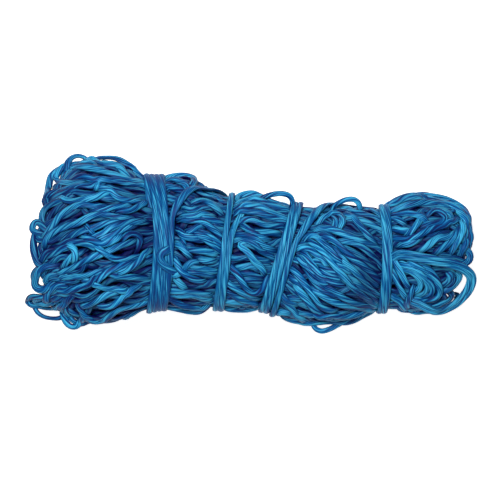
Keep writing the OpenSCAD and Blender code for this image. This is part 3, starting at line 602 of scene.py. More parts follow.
    def held(self, x: np.ndarray) -> np.ndarray:
        """How far the net is from a binding: 0 under one and 1 well away from all."""
        gap = np.min([np.maximum(np.maximum(s - x, x - e), 0) for s, e in self.bands], axis=0)
        return np.clip(gap / self.hold_reach, 0, 1)


@dataclass
class Strand:
    """One twine: the line of its centre, whether it is closed, and how firmly it keeps its place."""

    points: np.ndarray
    closed: bool = True
    firm: float = 0.03
    mobility: float = 1.0
    pad: float = 1.5
    name: str = ""


@dataclass(frozen=True)
class Layer:
    """A layer of long loops round the bundle, each two runs joined by a loop at both ends."""

    # The depth is negative inside the skin, the setbacks are of the loops at the fan and at the tail, and
    # the step is between the rings of a twine.
    name: str
    loops: int
    depth: float
    setback: float
    tail_setback: float
    wander: float
    ripple: float
    sag: float
    step: float
    offset: float = 0.0


@dataclass
class Gatherer:
    """Lays the net's twines along the bundle."""

    bundle: Bundle
    rng: np.random.Generator
    step: float = 3.5
    # How much less the loops at the sides reach than those in the middle: far and near side, at each end.
    side_setbacks: tuple = ((20, 8), (16, 34))
    ragged: float = 9
    bend_angle: float = 78
    bend_points: int = 11
    bend_reach: tuple = (9, 17)
    run_step: float = 4.0
    fade: float = 45
    girth_slope: float = 4.3
    girth_base: float = 60
    # Lengths and sizes of the waves in a run, aside and out, and the share of them left under a binding.
    wander_waves: tuple = ((170, 1.0), (92, 0.9), (57, 0.45))
    ripple_waves: tuple = ((130, 1.0), (71, 0.8))
    held_share: float = 0.25
    jitter: float = 0.25
    loop_widths: tuple = (0.45, 0.55, 1.5)
    # Steps on and down that hide a surface twine's end: straight on or, at the tips, back under the net.
    tuck: tuple = ((7.0, -5.0), (13.0, -10.0))
    turn_back: tuple = ((3.5, -4.0), (2.0, -8.5), (-8.0, -11.0))
    ends: tuple = (-207.0, 209.0)
    # Rings of bights: share of the section's size, how many, and the arc that they fill from below.
    bight_rings: tuple = ((0.0, 2, 360), (0.2, 6, 360), (0.42, 11, 360), (0.62, 15, 360), (0.8, 9, 150))
    bight_setback: tuple = (11, 18)
    bight_length: tuple = (34, 50)
    bight_half: tuple = (5.0, 7.5)
    bight_points: int = 7
    bight_jitter: float = 0.2
    bight_lean: float = 0.7

    def waves(self, x: np.ndarray, kinds: tuple, amount: float) -> np.ndarray:
        """A smooth random wander along X, less of it under the bindings.

        Args:
            x: Places along the bundle.
            kinds: Lengths and sizes of the waves in it.
            amount: What all their sizes are multiplied by.

        Returns:
            One distance for each place.
        """
        total = sum(
            size * np.sin(2 * np.pi * x / length + self.rng.uniform(0, 2 * np.pi)) for length, size in kinds
        )
        return amount * total * (self.held_share + (1 - self.held_share) * self.bundle.held(x))

    def tip(self, angle: float, end: int) -> float:
        """Where the end loops reach, which is less at the sides than in the middle.

        Args:
            angle: The loops' angle round the bundle.
            end: -1 for the fan and 1 for the tail.

        Returns:
            Their X.
        """
        c = math.cos(math.radians(angle))
        far, near = self.side_setbacks[0 if end < 0 else 1]
        setback = (far if c > 0 else near) * c * c
        return self.bundle.tips[0] + setback if end < 0 else self.bundle.tips[1] - setback

    def loop(self, layer: Layer, first: float, second: float) -> np.ndarray:
        """One long loop of a layer.

        Args:
            layer: The layer.
            first: The share of the girth at which the loop's first run lies.
            second: The same for the run back.

        Returns:
            The points of its line.
        """
        b = self.bundle
        middle, half = (first + second) / 2, abs(second - first) / 2
        turn = np.radians(np.linspace(-self.bend_angle, self.bend_angle, self.bend_points))
        bends = []
        for end in (1, -1):
            bay = np.array([b.bays[0 if end < 0 else 4]])
            angle = float(b.angle_at(bay, middle + b.at(b.twist, bay))[0])
            setback = layer.setback if end < 0 else layer.tail_setback
            x_tip = self.tip(angle, end) - end * (setback + self.rng.uniform(0, self.ragged))
            reach = self.rng.uniform(*self.bend_reach)
            bends.append((x_tip - end * reach * (1 - np.cos(turn)), middle + half * np.sin(turn)))
        (right_x, right_share), (left_x, left_share) = bends
        lines = []
        for share, flip in ((first, False), (second, True)):
            x = np.arange(left_x[0] + self.run_step, right_x[0] - self.run_step, self.run_step)
            fade = np.clip(np.minimum(x - x[0], x[-1] - x) / self.fade, 0, 1)
            thick = b.at(b.high, x) - b.at(b.low, x)
            girth = self.girth_slope * (b.at(b.half, x) + thick / 2) / 2 + self.girth_base
            shares = share + fade * self.waves(x, self.wander_waves, layer.wander) / girth
            out = layer.depth + self.waves(x, self.ripple_waves, layer.ripple)
            lines.append((x[::-1], shares[::-1], out[::-1]) if flip else (x, shares, out))
        run, back = lines
        flat = np.full(right_x.shape, layer.depth)
        x = np.concatenate([run[0], right_x, back[0], left_x[::-1]])
        share = np.concatenate([run[1], right_share, back[1], left_share[::-1]])
        out = np.concatenate([run[2], flat, back[2], flat])
        angle = b.angle_at(x, share + b.at(b.twist, x))
        line = b.skin(x, angle, out - layer.sag * np.clip(np.sin(np.radians(angle)), 0, 1))
        start = int(np.argmin(np.abs(run[0] - sum(b.bands[0]) / 2)))
        return even_steps(np.roll(line, -start, axis=0), self.step, True)

    def outer(self, layer: Layer) -> list[Strand]:
        """The outer twines, on the routes of the CAD twines.

        Args:
            layer: Their layer.

        Returns:
            The twines, each named for its CAD node.
        """
        strands = []
        for n in range(layer.loops):
            k = first_run(n)
            line = self.loop(layer, (k + 0.5) / RUNS, (k + 2.5) / RUNS)
            strands.append(Strand(line, firm=0.04, pad=-0.4, name=f"net_twine_{n + 1:02d}"))
        return strands

    def filling(self, layer: Layer) -> list[Strand]:
        """The twines of a layer under or between the outer ones.

        Args:
            layer: The layer.

        Returns:
            The twines.
        """
        strands = []
        for n in range(layer.loops):
            first = (n + layer.offset + self.rng.uniform(-self.jitter, self.jitter)) / layer.loops
            width = self.rng.choice(self.loop_widths) / layer.loops
            strands.append(Strand(self.loop(layer, first, first + width)))
        return strands

    def bights(self, end: int) -> list[Strand]:
        """The bights that fill one end inside the outer loops, each out to the end and back.

        Args:
            end: -1 for the fan and 1 for the tail.

        Returns:
            The bights.
        """
        b = self.bundle
        x = b.tips[0 if end < 0 else 1] - end * self.bight_length[0]
        middle = np.array([b.at(b.sway, x), (b.at(b.low, x) + b.at(b.high, x)) / 2])
        size = np.array([b.at(b.half, x), (b.at(b.high, x) - b.at(b.low, x)) / 2])
        turn = np.radians(np.linspace(-90, 90, self.bight_points))
        strands = []
        for share, count, arc in self.bight_rings:
            for n in range(count):
                part = (n + 0.5 + self.rng.uniform(-self.bight_jitter, self.bight_jitter)) / count - 0.5
                angle = math.radians(-90 + arc * part)
                spot = middle + share * size * (math.cos(angle), math.sin(angle))
                across = angle + math.pi / 2 + self.rng.uniform(-self.bight_lean, self.bight_lean)
                half = self.rng.uniform(*self.bight_half)
                tip = self.tip(math.degrees(math.acos(share * math.cos(angle))), end)
                tip -= end * self.rng.uniform(*self.bight_setback)
                root = tip - end * self.rng.uniform(*self.bight_length)
                along = np.concatenate([[root], tip - end * half * (1 - np.cos(turn)), [root]])
                aside = half * np.concatenate([[-1], np.sin(turn), [1]])
                y, z = spot[0] + aside * math.cos(across), spot[1] + aside * math.sin(across)
                line = even_steps(np.stack([along, y, z], axis=1), self.step)
                strands.append(Strand(line, closed=False, firm=0.08, mobility=0.7, pad=-8.0))
        return strands

    def hidden_end(self, end: np.ndarray, before: np.ndarray) -> list:
        """Takes the end of a twine on top out of sight.

        Args:
            end: The twine's last bend.
            before: The bend before it.

        Returns:
            Points that go on straight or, at the ends of the net, back under it.
        """
        way = unit(end[:2] - before[:2])
        beyond = end[0] + way[0] * self.tuck[-1][0]
        steps = self.tuck if self.ends[0] < beyond < self.ends[1] else self.turn_back
        return [(*(end[:2] + way * far), down) for far, down in steps]

    def surface(self, place: Place) -> list[Strand]:
        """The listed twines of one stretch, with their ends tucked under their neighbours.

        Args:
            place: The stretch.

        Returns:
            The twines.
        """
        strands = []
        for route in SURFACE[place]:
            bends = np.array([(*bend, 0)[:3] for bend in route], float)
            before = self.hidden_end(bends[0], bends[1])[::-1]
            after = self.hidden_end(bends[-1], bends[-2])
            line = smooth_line(np.vstack([before, bends, after]))
            points = even_steps(Studio.seen(self.bundle.over(line)), self.step)
            strands.append(
                Strand(points, closed=False, firm=0.25, mobility=0.35, pad=14.0, name=place.value))
        return strands


@dataclass
class Settler:
    """Lets the twines press on each other inside the skin until none lies in another."""

    bundle: Bundle
    rounds: int = 140
    quick_rounds: int = 40
    pairs_every: int = 10
    gap: float = 4.6
    look: float = 7.0
    own_reach: int = 4
    stiffness: float = 0.22
    tie_pull: float = 0.22
    step_pull: float = 0.2
    push: float = 0.8
    pushes: int = 2
    last_smooth: float = 0.25
    least: float = 1e-6

    def settle(self, strands: list[Strand], knots: list) -> None:
        """Moves the points of all the strands.

        Args:
            strands: The twines.
            knots: Pairs of places that are tied, each the number of a strand and of a point on it.
        """
        sizes = [len(s.points) for s in strands]
        starts = np.concatenate([[0], np.cumsum(sizes)])
        p = np.vstack([s.points for s in strands])
        goal = p.copy()
        owner = np.repeat(np.arange(len(strands)), sizes)
        order = np.arange(len(p))
        ahead, behind = order + 1, order - 1
        for s, first, after in zip(strands, starts, starts[1:]):
            ahead[after - 1] = first if s.closed else after - 1
            behind[first] = after - 1 if s.closed else first
        firm = np.repeat([s.firm for s in strands], sizes)[:, None]
        free = np.repeat([s.mobility for s in strands], sizes)
        pad = np.repeat([s.pad for s in strands], sizes)
        size = np.repeat(sizes, sizes)
        step = np.linalg.norm(p[ahead] - p, axis=1, keepdims=True)
        tied = np.array([(starts[a] + i, starts[b] + j) for (a, i), (b, j) in knots])
        pairs = None
        for n in range(self.rounds):
            if n % self.pairs_every == 0:
                pairs = self._near_pairs(p, owner, order, size)
            p += firm * (goal - p)
            p += self.stiffness * free[:, None] * ((p[ahead] + p[behind]) / 2 - p)
            p = self._keep_steps(p, ahead, step, free)
            self._tie(p, tied)
            for _ in range(self.pushes):
                p = self._part(p, pairs, free)
            p = self._contain(p, pad)
        p += self.last_smooth * ((p[ahead] + p[behind]) / 2 - p)
        for s, first, after in zip(strands, starts, starts[1:]):
            s.points = p[first:after]

    def _tie(self, p: np.ndarray, tied: np.ndarray) -> None:
        """Draws the tied places together.

        Args:
            p: All the points, which are moved.
            tied: Pairs of numbers of points.
        """
        for shift in (-1, 0, 1):
            i, j = tied[:, 0] + shift, tied[:, 1]
            d = p[j] - p[i]
            far = np.linalg.norm(d, axis=1, keepdims=True)
            pull = self.tie_pull * d * np.maximum(1 - TWINE_D / np.maximum(far, self.least), 0)
            p[i] += pull
            p[j] -= pull

    def _near_pairs(self, p: np.ndarray, owner: np.ndarray, order: np.ndarray, size: np.ndarray) -> tuple:
        """Pairs of points close enough to meet soon, without neighbours on one strand.

        Args:
            p: All the points.
            owner: The number of each point's strand.
            order: The points' own numbers.
            size: How many points each one's strand has.

        Returns:
            The numbers of the first and of the second points.
        """
        cell = np.floor((p - p.min(axis=0)) / self.look).astype(np.int64) + 1
        dims = cell.max(axis=0) + 2
        key = (cell[:, 0] * dims[1] + cell[:, 1]) * dims[2] + cell[:, 2]
        rank = np.argsort(key, kind="stable")
        found, first, count = np.unique(key[rank], return_index=True, return_counts=True)
        one, two = [], []
        for dx, dy, dz in np.ndindex(3, 3, 3):
            other = key + ((dx - 1) * dims[1] + dy - 1) * dims[2] + dz - 1
            slot = np.minimum(np.searchsorted(found, other), len(found) - 1)
            here = found[slot] == other
            for m in range(int(count.max())):
                use = np.nonzero(here & (m < count[slot]))[0]
                mate = rank[first[slot[use]] + m]
                keep = mate > use
                one.append(use[keep])
                two.append(mate[keep])
        i, j = np.concatenate(one), np.concatenate(two)
        along = np.abs(order[i] - order[j])
        along = np.minimum(along, size[i] - along)
        apart = (owner[i] != owner[j]) | (along > self.own_reach)
        keep = apart & (np.linalg.norm(p[i] - p[j], axis=1) < self.look)
        return i[keep], j[keep]

    def _part(self, p: np.ndarray, pairs: tuple, free: np.ndarray) -> np.ndarray:
        """Pushes apart the points that are closer than two twines can be.

        Args:
            p: All the points.
            pairs: The pairs that may be too close.
            free: How easily each point moves.

        Returns:
            The points.
        """
        i, j = pairs
        d = p[j] - p[i]
        far = np.linalg.norm(d, axis=1)
        hit = far < self.gap
        i, j, d, far = i[hit], j[hit], d[hit], far[hit]
        push = d / np.maximum(far, self.least)[:, None] * ((self.gap - far) / (free[i] + free[j]))[:, None]
        n = len(p)
        share = np.maximum(np.bincount(i, minlength=n) + np.bincount(j, minlength=n), 1) ** 0.5
        for axis in range(3):
            move = np.bincount(j, push[:, axis], n) - np.bincount(i, push[:, axis], n)
            p[:, axis] += self.push * free * move / share
        return p

    def _keep_steps(self, p: np.ndarray, ahead: np.ndarray, step: np.ndarray,
                    free: np.ndarray) -> np.ndarray:
        """Keeps neighbours on a strand about as far apart as they began.

        Args:
            p: All the points.
            ahead: The number of the next point on each one's strand.
            step: The distance to it at first.
            free: How easily each point moves.

        Returns:
            The points.
        """
        d = p[ahead] - p
        far = np.linalg.norm(d, axis=1, keepdims=True)
        pull = self.step_pull * d * (1 - step / np.maximum(far, self.least)) * free[:, None]
        p = p + pull
        np.subtract.at(p, ahead, pull)
        return p

    def _contain(self, p: np.ndarray, pad: np.ndarray) -> np.ndarray:
        """Keeps points inside the skin and above the floor.

        Args:
            p: All the points.
            pad: How far outside the skin each may lie.

        Returns:
            The points.
        """
        b = self.bundle
        x, sway, half, middle, half_h = b.section(p[:, 0], p[:, 1], pad)
        u, v = (p[:, 1] - sway) / half, (p[:, 2] - middle) / half_h
        over = np.maximum(np.hypot(u, v), 1)
        p[:, 1] = sway + (p[:, 1] - sway) / over
        p[:, 2] = np.maximum(middle + (p[:, 2] - middle) / over, b.at(b.low, x))
        return p


@dataclass
class NodeMaker:
    """Adds nodes to a tree."""

    tree: bpy.types.NodeTree

    def __call__(self, kind: str, settings: dict | None = None, values: dict | None = None,
                 links: dict | None = None) -> bpy.types.Node:
        """Adds one node.

        Args:
            kind: The node's type.
            settings: Its properties.
            values: Its unlinked inputs, by name or place.
            links: The outputs that feed its inputs, by name or place.

        Returns:
            The node.
        """
        node = self.tree.nodes.new(kind)
        for name, value in (settings or {}).items():
            setattr(node, name, value)
        for name, value in (values or {}).items():
            node.inputs[name].default_value = value
        for name, socket in (links or {}).items():
            self.tree.links.new(socket, node.inputs[name])
        return node


@dataclass
class CordSweep:
    """Turns lines into ridged, slightly flat cords with Geometry Nodes."""

    sides: int = 16
    lobes: int = 4
    lobe_depth: float = 0.03
    half_width: float = 3.6
    half_thick: float = 2.0
    sway: float = 20.0
    long_roll: tuple = (55, 90)
    short_roll: tuple = (24, 38)
    short_share: float = 0.5
    girths: tuple = (0.93, 1.05)
    swell: float = 0.06
    swell_reach: tuple = (9, 16)
    swell_phases: tuple = (0, 6)
    taper: float = 16
    # From this rise on, a line that starts upwards is too steep for its first direction across to be up.
    steep: float = 0.9
    # A cord begins anywhere along this much twine.
    supply: float = 900
    # The tie cord's tone at places along X, which is darker on the first binding, as painted shade.
    tone_with_painted_shade: tuple = ((-75, -25, 40, 140), (-0.35, 0.5, 0.25, 0.35))
    bundle: Bundle | None = None

    @staticmethod
    def headings(line: np.ndarray, closed: bool) -> np.ndarray:
        """Directions along a line.

        Args:
            line: Its points.
            closed: Whether it goes back to its start.

        Returns:
            One direction for each point.
        """
        after = np.roll(line, -1, axis=0) if closed else np.vstack([line[1:], line[-1:]])
        before = np.roll(line, 1, axis=0) if closed else np.vstack([line[:1], line[:-1]])
        return unit(after - before)

    def untwisted(self, line: np.ndarray) -> np.ndarray:
        """Directions across an open line, carried along it without twist.

        Args:
            line: Its points.

        Returns:
            One direction for each point.
        """
        along = self.headings(line, False)
        up = np.zeros_like(line)
        steep = abs(along[0][2]) >= self.steep
        seed = np.array([0.0, 1.0, 0.0]) if steep else np.array([0.0, 0.0, 1.0])
        up[0] = unit(seed - along[0] * along[0].dot(seed))
        for i in range(1, len(line)):
            v = up[i - 1] - along[i] * along[i].dot(up[i - 1])
            up[i] = v / max(np.linalg.norm(v), TINY)
        return up

    def rolled(self, line: np.ndarray, closed: bool, up: np.ndarray,
               rng: np.random.Generator) -> np.ndarray:
        """Outward directions that roll to and fro, as a soft twine does along its length.

        Args:
            line: The twine's points.
            closed: Whether it goes back to its start.
            up: The directions that it rolls about.
            rng: Draws the lengths and the phases of the roll.

        Returns:
            One direction for each point.
        """
        along = self.headings(line, closed)
        up = unit(up - along * np.sum(up * along, axis=1, keepdims=True))
        side = np.cross(along, up)
        walk = walk_along(line)
        long, short = rng.uniform(*self.long_roll), rng.uniform(*self.short_roll)
        turn = np.sin(2 * np.pi * (walk / long + rng.uniform()))
        turn = turn + self.short_share * np.sin(2 * np.pi * (walk / short + rng.uniform()))
        turn = np.radians(self.sway * turn)[:, None]
        return np.cos(turn) * up + np.sin(turn) * side

    @cached_property
    def tree(self) -> bpy.types.NodeTree:
        """The node tree that sweeps a ridged section along each line.

        Returns:
            The tree, made at its first use.
        """
        tree = bpy.data.node_groups.new("cord_sweep", "GeometryNodeTree")
        face = tree.interface
        face.new_socket("Geometry", in_out="INPUT", socket_type="NodeSocketGeometry")
        for name, kind in (("Half width", "Float"), ("Half thickness", "Float"), ("Lobe depth", "Float"),
                           ("Lobes", "Int"), ("Sides", "Int"), ("Material", "Material")):
            face.new_socket(name, in_out="INPUT", socket_type=f"NodeSocket{kind}")
        face.new_socket("Geometry", in_out="OUTPUT", socket_type="NodeSocketGeometry")
        add = NodeMaker(tree)
        given = add("NodeGroupInput")
        line = add("GeometryNodeMeshToCurve", links={"Mesh": given.outputs["Geometry"]})
        outward = add("GeometryNodeInputNamedAttribute", {"data_type": "FLOAT_VECTOR"}, {
            "Name": "outward"})
        set_up = add("GeometryNodeSetCurveNormal", {"mode": "FREE"}, links={
            "Curve": line.outputs[0], "Normal": outward.outputs["Attribute"]})
        ring = add("GeometryNodeCurvePrimitiveCircle", {"mode": "RADIUS"}, {"Radius": 1.0}, {
            "Resolution": given.outputs["Sides"]})
        place = add("GeometryNodeSplineParameter")
        turn = add("ShaderNodeMath", {"operation": "MULTIPLY"}, {1: 2 * math.pi}, {
            0: place.outputs["Factor"]})
        many = add("ShaderNodeMath", {"operation": "MULTIPLY"}, links={
            0: turn.outputs[0], 1: given.outputs["Lobes"]})
        wave = add("ShaderNodeMath", {"operation": "COSINE"}, links={0: many.outputs[0]})
        swell = add("ShaderNodeMath", {"operation": "MULTIPLY_ADD"}, {2: 1.0}, {
            0: wave.outputs[0], 1: given.outputs["Lobe depth"]})
        spot = add("GeometryNodeInputPosition")
        shape = add("ShaderNodeVectorMath", {"operation": "SCALE"}, links={
            "Vector": spot.outputs[0], "Scale": swell.outputs[0]})
        sizes = add("ShaderNodeCombineXYZ", links={
            "X": given.outputs["Half thickness"], "Y": given.outputs["Half width"]})
        sized = add("ShaderNodeVectorMath", {"operation": "MULTIPLY"}, links={
            0: shape.outputs[0], 1: sizes.outputs[0]})
        marked = add("GeometryNodeStoreNamedAttribute", {"data_type": "FLOAT_VECTOR", "domain": "POINT"},
                     {"Name": "round"}, {"Geometry": ring.outputs[0], "Value": spot.outputs[0]})
        section = add("GeometryNodeSetPosition", links={
            "Geometry": marked.outputs[0], "Position": sized.outputs[0]})
        girth = add("GeometryNodeInputNamedAttribute", {"data_type": "FLOAT"}, {"Name": "girth"})
        swept = add("GeometryNodeCurveToMesh", {}, {"Fill Caps": True}, {
            "Curve": set_up.outputs[0], "Profile Curve": section.outputs[0],
            "Scale": girth.outputs["Attribute"]})
        smooth = add("GeometryNodeSetShadeSmooth", links={"Geometry": swept.outputs[0]})
        real = add("GeometryNodeRealizeInstances", links={"Geometry": smooth.outputs[0]})
        coat = add("GeometryNodeSetMaterial", links={
            "Geometry": real.outputs[0], "Material": given.outputs["Material"]})
        add("NodeGroupOutput", links={"Geometry": coat.outputs[0]})
        return tree

    def wires(self, name: str, lines: list, rng: np.random.Generator, ups: list, ends: float,
              start: float | None) -> bpy.types.Mesh:
        """The lines as edges, with what the sweep and the finish read stored at their points.

        Args:
            name: The mesh's name.
            lines: Pairs of points and whether the line is closed.
            rng: Draws each cord's tone and the phases of its swelling, if no start is given.
            ups: Outward directions for each line.
            ends: The share of its girth that each cord has at its ends.
            start: Where the cord's length begins, for a stretch that goes on from another one.

        Returns:
            The mesh.
        """
        verts, edges, outward, along, tone, girth, sunk = [], [], [], [], [], [], []
        for (line, closed), up in zip(lines, ups):
            first, count = len(verts), len(line)
            verts.extend(line * MM)
            edges += [(first + i, first + i + 1) for i in range(count - 1)]
            if closed:
                edges.append((first + count - 1, first))
            outward.extend(up)
            sunk.extend(self.bundle.sunk(line) if self.bundle else np.zeros(count))
            walk = walk_along(line)
            if start is None:
                along.extend(walk + rng.uniform(0, self.supply))
                tone.extend(np.full(count, rng.uniform(0, 1)))
                size = rng.uniform(*self.girths)
                reach, phase = rng.uniform(*self.swell_reach), rng.uniform(*self.swell_phases)
                swell = np.sin(walk / reach + phase)
                size = size + self.swell * swell
            else:
                along.extend(walk + start)
                # Painted shade: a stretch that goes on takes a darker tone on the first binding.
                tone.extend(np.interp(line[:, 0], *self.tone_with_painted_shade))
                size = np.ones(count)
            girth.extend(size * np.interp(np.minimum(walk, walk[-1] - walk), [0, self.taper], [ends, 1]))
        mesh = bpy.data.meshes.new(name)
        mesh.from_pydata(verts, edges, [])
        row = mesh.attributes.new("outward", "FLOAT_VECTOR", "POINT")
        row.data.foreach_set("vector", np.ravel(outward).astype(np.float32))
        for label, values in (("along", along), ("tone", tone), ("girth", girth), ("sunk", sunk)):
            row = mesh.attributes.new(label, "FLOAT", "POINT")
            row.data.foreach_set("value", np.ravel(values).astype(np.float32))
        return mesh

    def sweep(self, name: str, lines: list, material: bpy.types.Material, rng: np.random.Generator,
              ups: list, ends: float = 1.0, start: float | None = None) -> bpy.types.Object:
        """A mesh object with one cord for each line.

        Args:
            name: The piece's name.
            lines: Pairs of points and whether the line is closed.
            material: The finish.
            rng: Draws each cord's tone and the phases of its swelling.
            ups: Outward directions for each line.
            ends: The share of its girth that each cord has at its ends.
            start: Where the cord's length begins, for a stretch that goes on from another one.

        Returns:
            The piece, at the origin.
        """
        piece = bpy.data.objects.new(name, self.wires(name, lines, rng, ups, ends, start))
        bpy.context.collection.objects.link(piece)
        nodes = piece.modifiers.new("sweep", "NODES")
        nodes.node_group = self.tree
        given = {"Half width": self.half_width * MM, "Half thickness": self.half_thick * MM,
                 "Lobe depth": self.lobe_depth, "Lobes": self.lobes, "Sides": self.sides,
                 "Material": material}
        for item in self.tree.interface.items_tree:
            if item.name in given:
                nodes[item.identifier] = given[item.name]
        bpy.context.view_layer.update()
        graph = bpy.context.evaluated_depsgraph_get()
        solid = bpy.data.meshes.new_from_object(
            piece.evaluated_get(graph), preserve_all_data_layers=True, depsgraph=graph)
        piece.modifiers.clear()
        piece.data = solid
        solid.name = name
        self.rest_on_floor(solid)
        log.info("%s, %d triangles", name, sum(len(f.vertices) - 2 for f in solid.polygons))
        return piece

    @staticmethod
    def rest_on_floor(mesh: bpy.types.Mesh) -> None:
        """Flattens what would go through the floor.

        Args:
            mesh: The mesh, which is changed.
        """
        co = np.zeros(len(mesh.vertices) * 3, np.float32)
        mesh.vertices.foreach_get("co", co)
        co[2::3] = np.maximum(co[2::3], 0)
        mesh.vertices.foreach_set("co", co)
        mesh.update()


def linear(colour: str) -> tuple:
    """An sRGB hex colour as linear red, green, blue and alpha."""
    parts = [int(colour[i:i + 2], 16) / 255 for i in (1, 3, 5)]
    return (*[c / 12.92 if c <= 0.04045 else ((c + 0.055) / 1.055) ** 2.4 for c in parts], 1.0)


@dataclass(frozen=True)
class TwineFinish:
    """Polypropylene multifilament twine: fine straight filaments with a soft gleam along them."""

    # A real twine is a loose bundle of fine plastic filaments laid with a long twist. To the eye it is
    # streaked along its length, pale where filaments bunch and gleam, deep blue between them, and inky
    # where twines touch and little light gets in. Here the streaks are partly the filaments' own tone and
    # partly painted highlight, and the inky colour, also on the flanks, is painted shade. The streaks are
    # drawn coarser than the real filaments, because those are too fine to show. Filament, streak and lay
    # are lengths on the twine. The patches are broader than the filaments and shorter than the streaks, by
    # the patch scale, and paint pale stretches of gleam, which is painted highlight.
    name: str
    dark: str
    middle: str
    bright: str
    shadow: str = "#040a49"
    filament: float = 1.25
    streak: float = 26.0
    lay: float = 85.0
    patch_scale: tuple = (0.3, 0.3, 1.5)
    hair_share: float = 0.7
    patch_share: float = 0.22
    tone_share: float = 0.08
    stops: tuple = (0.40, 0.5, 0.60)
    shadow_share: float = 0.95
    flank_share: float = 0.72
    # How far a side faces out of the bundle where its shade begins, and where it is full.
    flank: tuple = (0.78, 0.08)
    bump: float = 0.4
    bump_depth: float = 0.0007
    roughness: float = 0.5
    ior: float = 1.49
    specular: float = 0.12

    def material(self) -> bpy.types.Material:
        """Builds the node material.

        Returns:
            The material.
        """
        mat = bpy.data.materials.new(self.name)
        mat.use_nodes = True
        mat.node_tree.nodes.clear()
        add = NodeMaker(mat.node_tree)
        ring = add("ShaderNodeAttribute", {"attribute_name": "round"})
        along = add("ShaderNodeAttribute", {"attribute_name": "along"})
        tone = add("ShaderNodeAttribute", {"attribute_name": "tone"})
        sunk = add("ShaderNodeAttribute", {"attribute_name": "sunk"})
        turn = add("ShaderNodeMath", {"operation": "MULTIPLY"}, {1: 2 * math.pi / self.lay}, {
            0: along.outputs["Fac"]})
        laid = add("ShaderNodeVectorRotate", {"rotation_type": "Z_AXIS"}, {}, {
            "Vector": ring.outputs["Vector"], "Angle": turn.outputs[0]})
        spread = add("ShaderNodeVectorMath", {"operation": "SCALE"}, {
            "Scale": CordSweep.half_width / self.filament}, {"Vector": laid.outputs[0]})
        run = add("ShaderNodeMath", {"operation": "MULTIPLY"}, {1: 1 / self.streak}, {
            0: along.outputs["Fac"]})
        lift = add("ShaderNodeCombineXYZ", links={"Z": run.outputs[0]})
        place = add("ShaderNodeVectorMath", {"operation": "ADD"}, links={
            0: spread.outputs[0], 1: lift.outputs[0]})
        # Streaks along the twine, partly the filaments' own tone and partly painted highlight.
        hair = add("ShaderNodeTexNoise", {"noise_dimensions": "3D"}, {
            "Scale": 1.0, "Detail": 1.0, "Roughness": 0.5}, {"Vector": place.outputs[0]})
        # The patches paint pale stretches of gleam along the twine, which is painted highlight.
        wide = add("ShaderNodeVectorMath", {"operation": "MULTIPLY"}, {1: self.patch_scale}, {
            0: place.outputs[0]})
        patch = add("ShaderNodeTexNoise", {"noise_dimensions": "3D"}, {"Scale": 1.0, "Detail": 1.0}, {
            "Vector": wide.outputs[0]})
        fine = add("ShaderNodeMath", {"operation": "MULTIPLY"}, {1: self.hair_share}, {
            0: hair.outputs[0]})
        both = add("ShaderNodeMath", {"operation": "MULTIPLY_ADD"}, {1: self.patch_share}, {
            0: patch.outputs[0], 2: fine.outputs[0]})
        shade = add("ShaderNodeMath", {"operation": "MULTIPLY_ADD"}, {1: self.tone_share}, {
            0: tone.outputs["Fac"], 2: both.outputs[0]})
        ramp = add("ShaderNodeValToRGB", links={"Fac": shade.outputs[0]})
        low, high = ramp.color_ramp.elements
        low.position, low.color = self.stops[0], linear(self.dark)
        high.position, high.color = self.stops[2], linear(self.bright)
        ramp.color_ramp.elements.new(self.stops[1]).color = linear(self.middle)
        # Painted shade: the sunk attribute and the flanks mix the shadow colour into the twine's colour.
        depth = add("ShaderNodeMath", {"operation": "MULTIPLY"}, {1: self.shadow_share}, {
            0: sunk.outputs["Fac"]})
        facing = add("ShaderNodeSeparateXYZ", links={"Vector": ring.outputs["Vector"]})
        flank = add("ShaderNodeMapRange", {"interpolation_type": "SMOOTHSTEP"}, {
            "From Min": self.flank[0], "From Max": self.flank[1],
            "To Min": 0.0, "To Max": self.flank_share}, {"Value": facing.outputs["X"]})
        shadow = add("ShaderNodeMath", {"operation": "ADD", "use_clamp": True}, links={
            0: depth.outputs[0], 1: flank.outputs["Result"]})
        tint = add("ShaderNodeMix", {"data_type": "RGBA"}, {"B": linear(self.shadow)}, {
            "Factor": shadow.outputs[0], "A": ramp.outputs["Color"]})
        bump = add("ShaderNodeBump", {}, {"Strength": self.bump, "Distance": self.bump_depth}, {
            "Height": hair.outputs[0]})
        gloss = add("ShaderNodeBsdfPrincipled", {}, {
            "Roughness": self.roughness, "IOR": self.ior, "Specular IOR Level": self.specular}, {
            "Base Color": tint.outputs["Result"], "Normal": bump.outputs["Normal"]})
        add("ShaderNodeOutputMaterial", links={"Surface": gloss.outputs[0]})
        return mat


NET_FINISH = TwineFinish("blue_polypropylene_twine", dark="#042864", middle="#0668ae", bright="#46c2f0")
TIE_FINISH = TwineFinish("blue_polypropylene_tie", dark="#073f7f", middle="#1077b2", bright="#4cbfe8",
                         filament=0.95, lay=120, hair_share=0.8, patch_share=0.12, flank_share=0.65)


def stand_for(piece: bpy.types.Object, node: str) -> None:
    """Puts a piece that moves with the bundle in the place of a CAD node.

    Args:
        piece: The piece.
        node: The node's name.
    """
    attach(piece, "bundle")
    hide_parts(node)


def free_loop(piece: bpy.types.Object, node: str, body: str, line: np.ndarray) -> None:
    """Puts a free loop of cord in the place of a CAD node.

    Args:
        piece: The loop.
        node: The node's name.
        body: The body whose joint is looked up; the loop is not attached to it.
        line: The loop's line in millimetres.
    """
    path = line * MM
    hinge = next(j for j in frame["record"]["behaviour"]["joints"] if j["child"] == body)
    place, axis = np.array(hinge["pos_m"]), unit(np.array(hinge["axis"]))
    away = path - place
    away = away - np.outer(away @ axis, axis)
    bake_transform(piece)
    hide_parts(node)


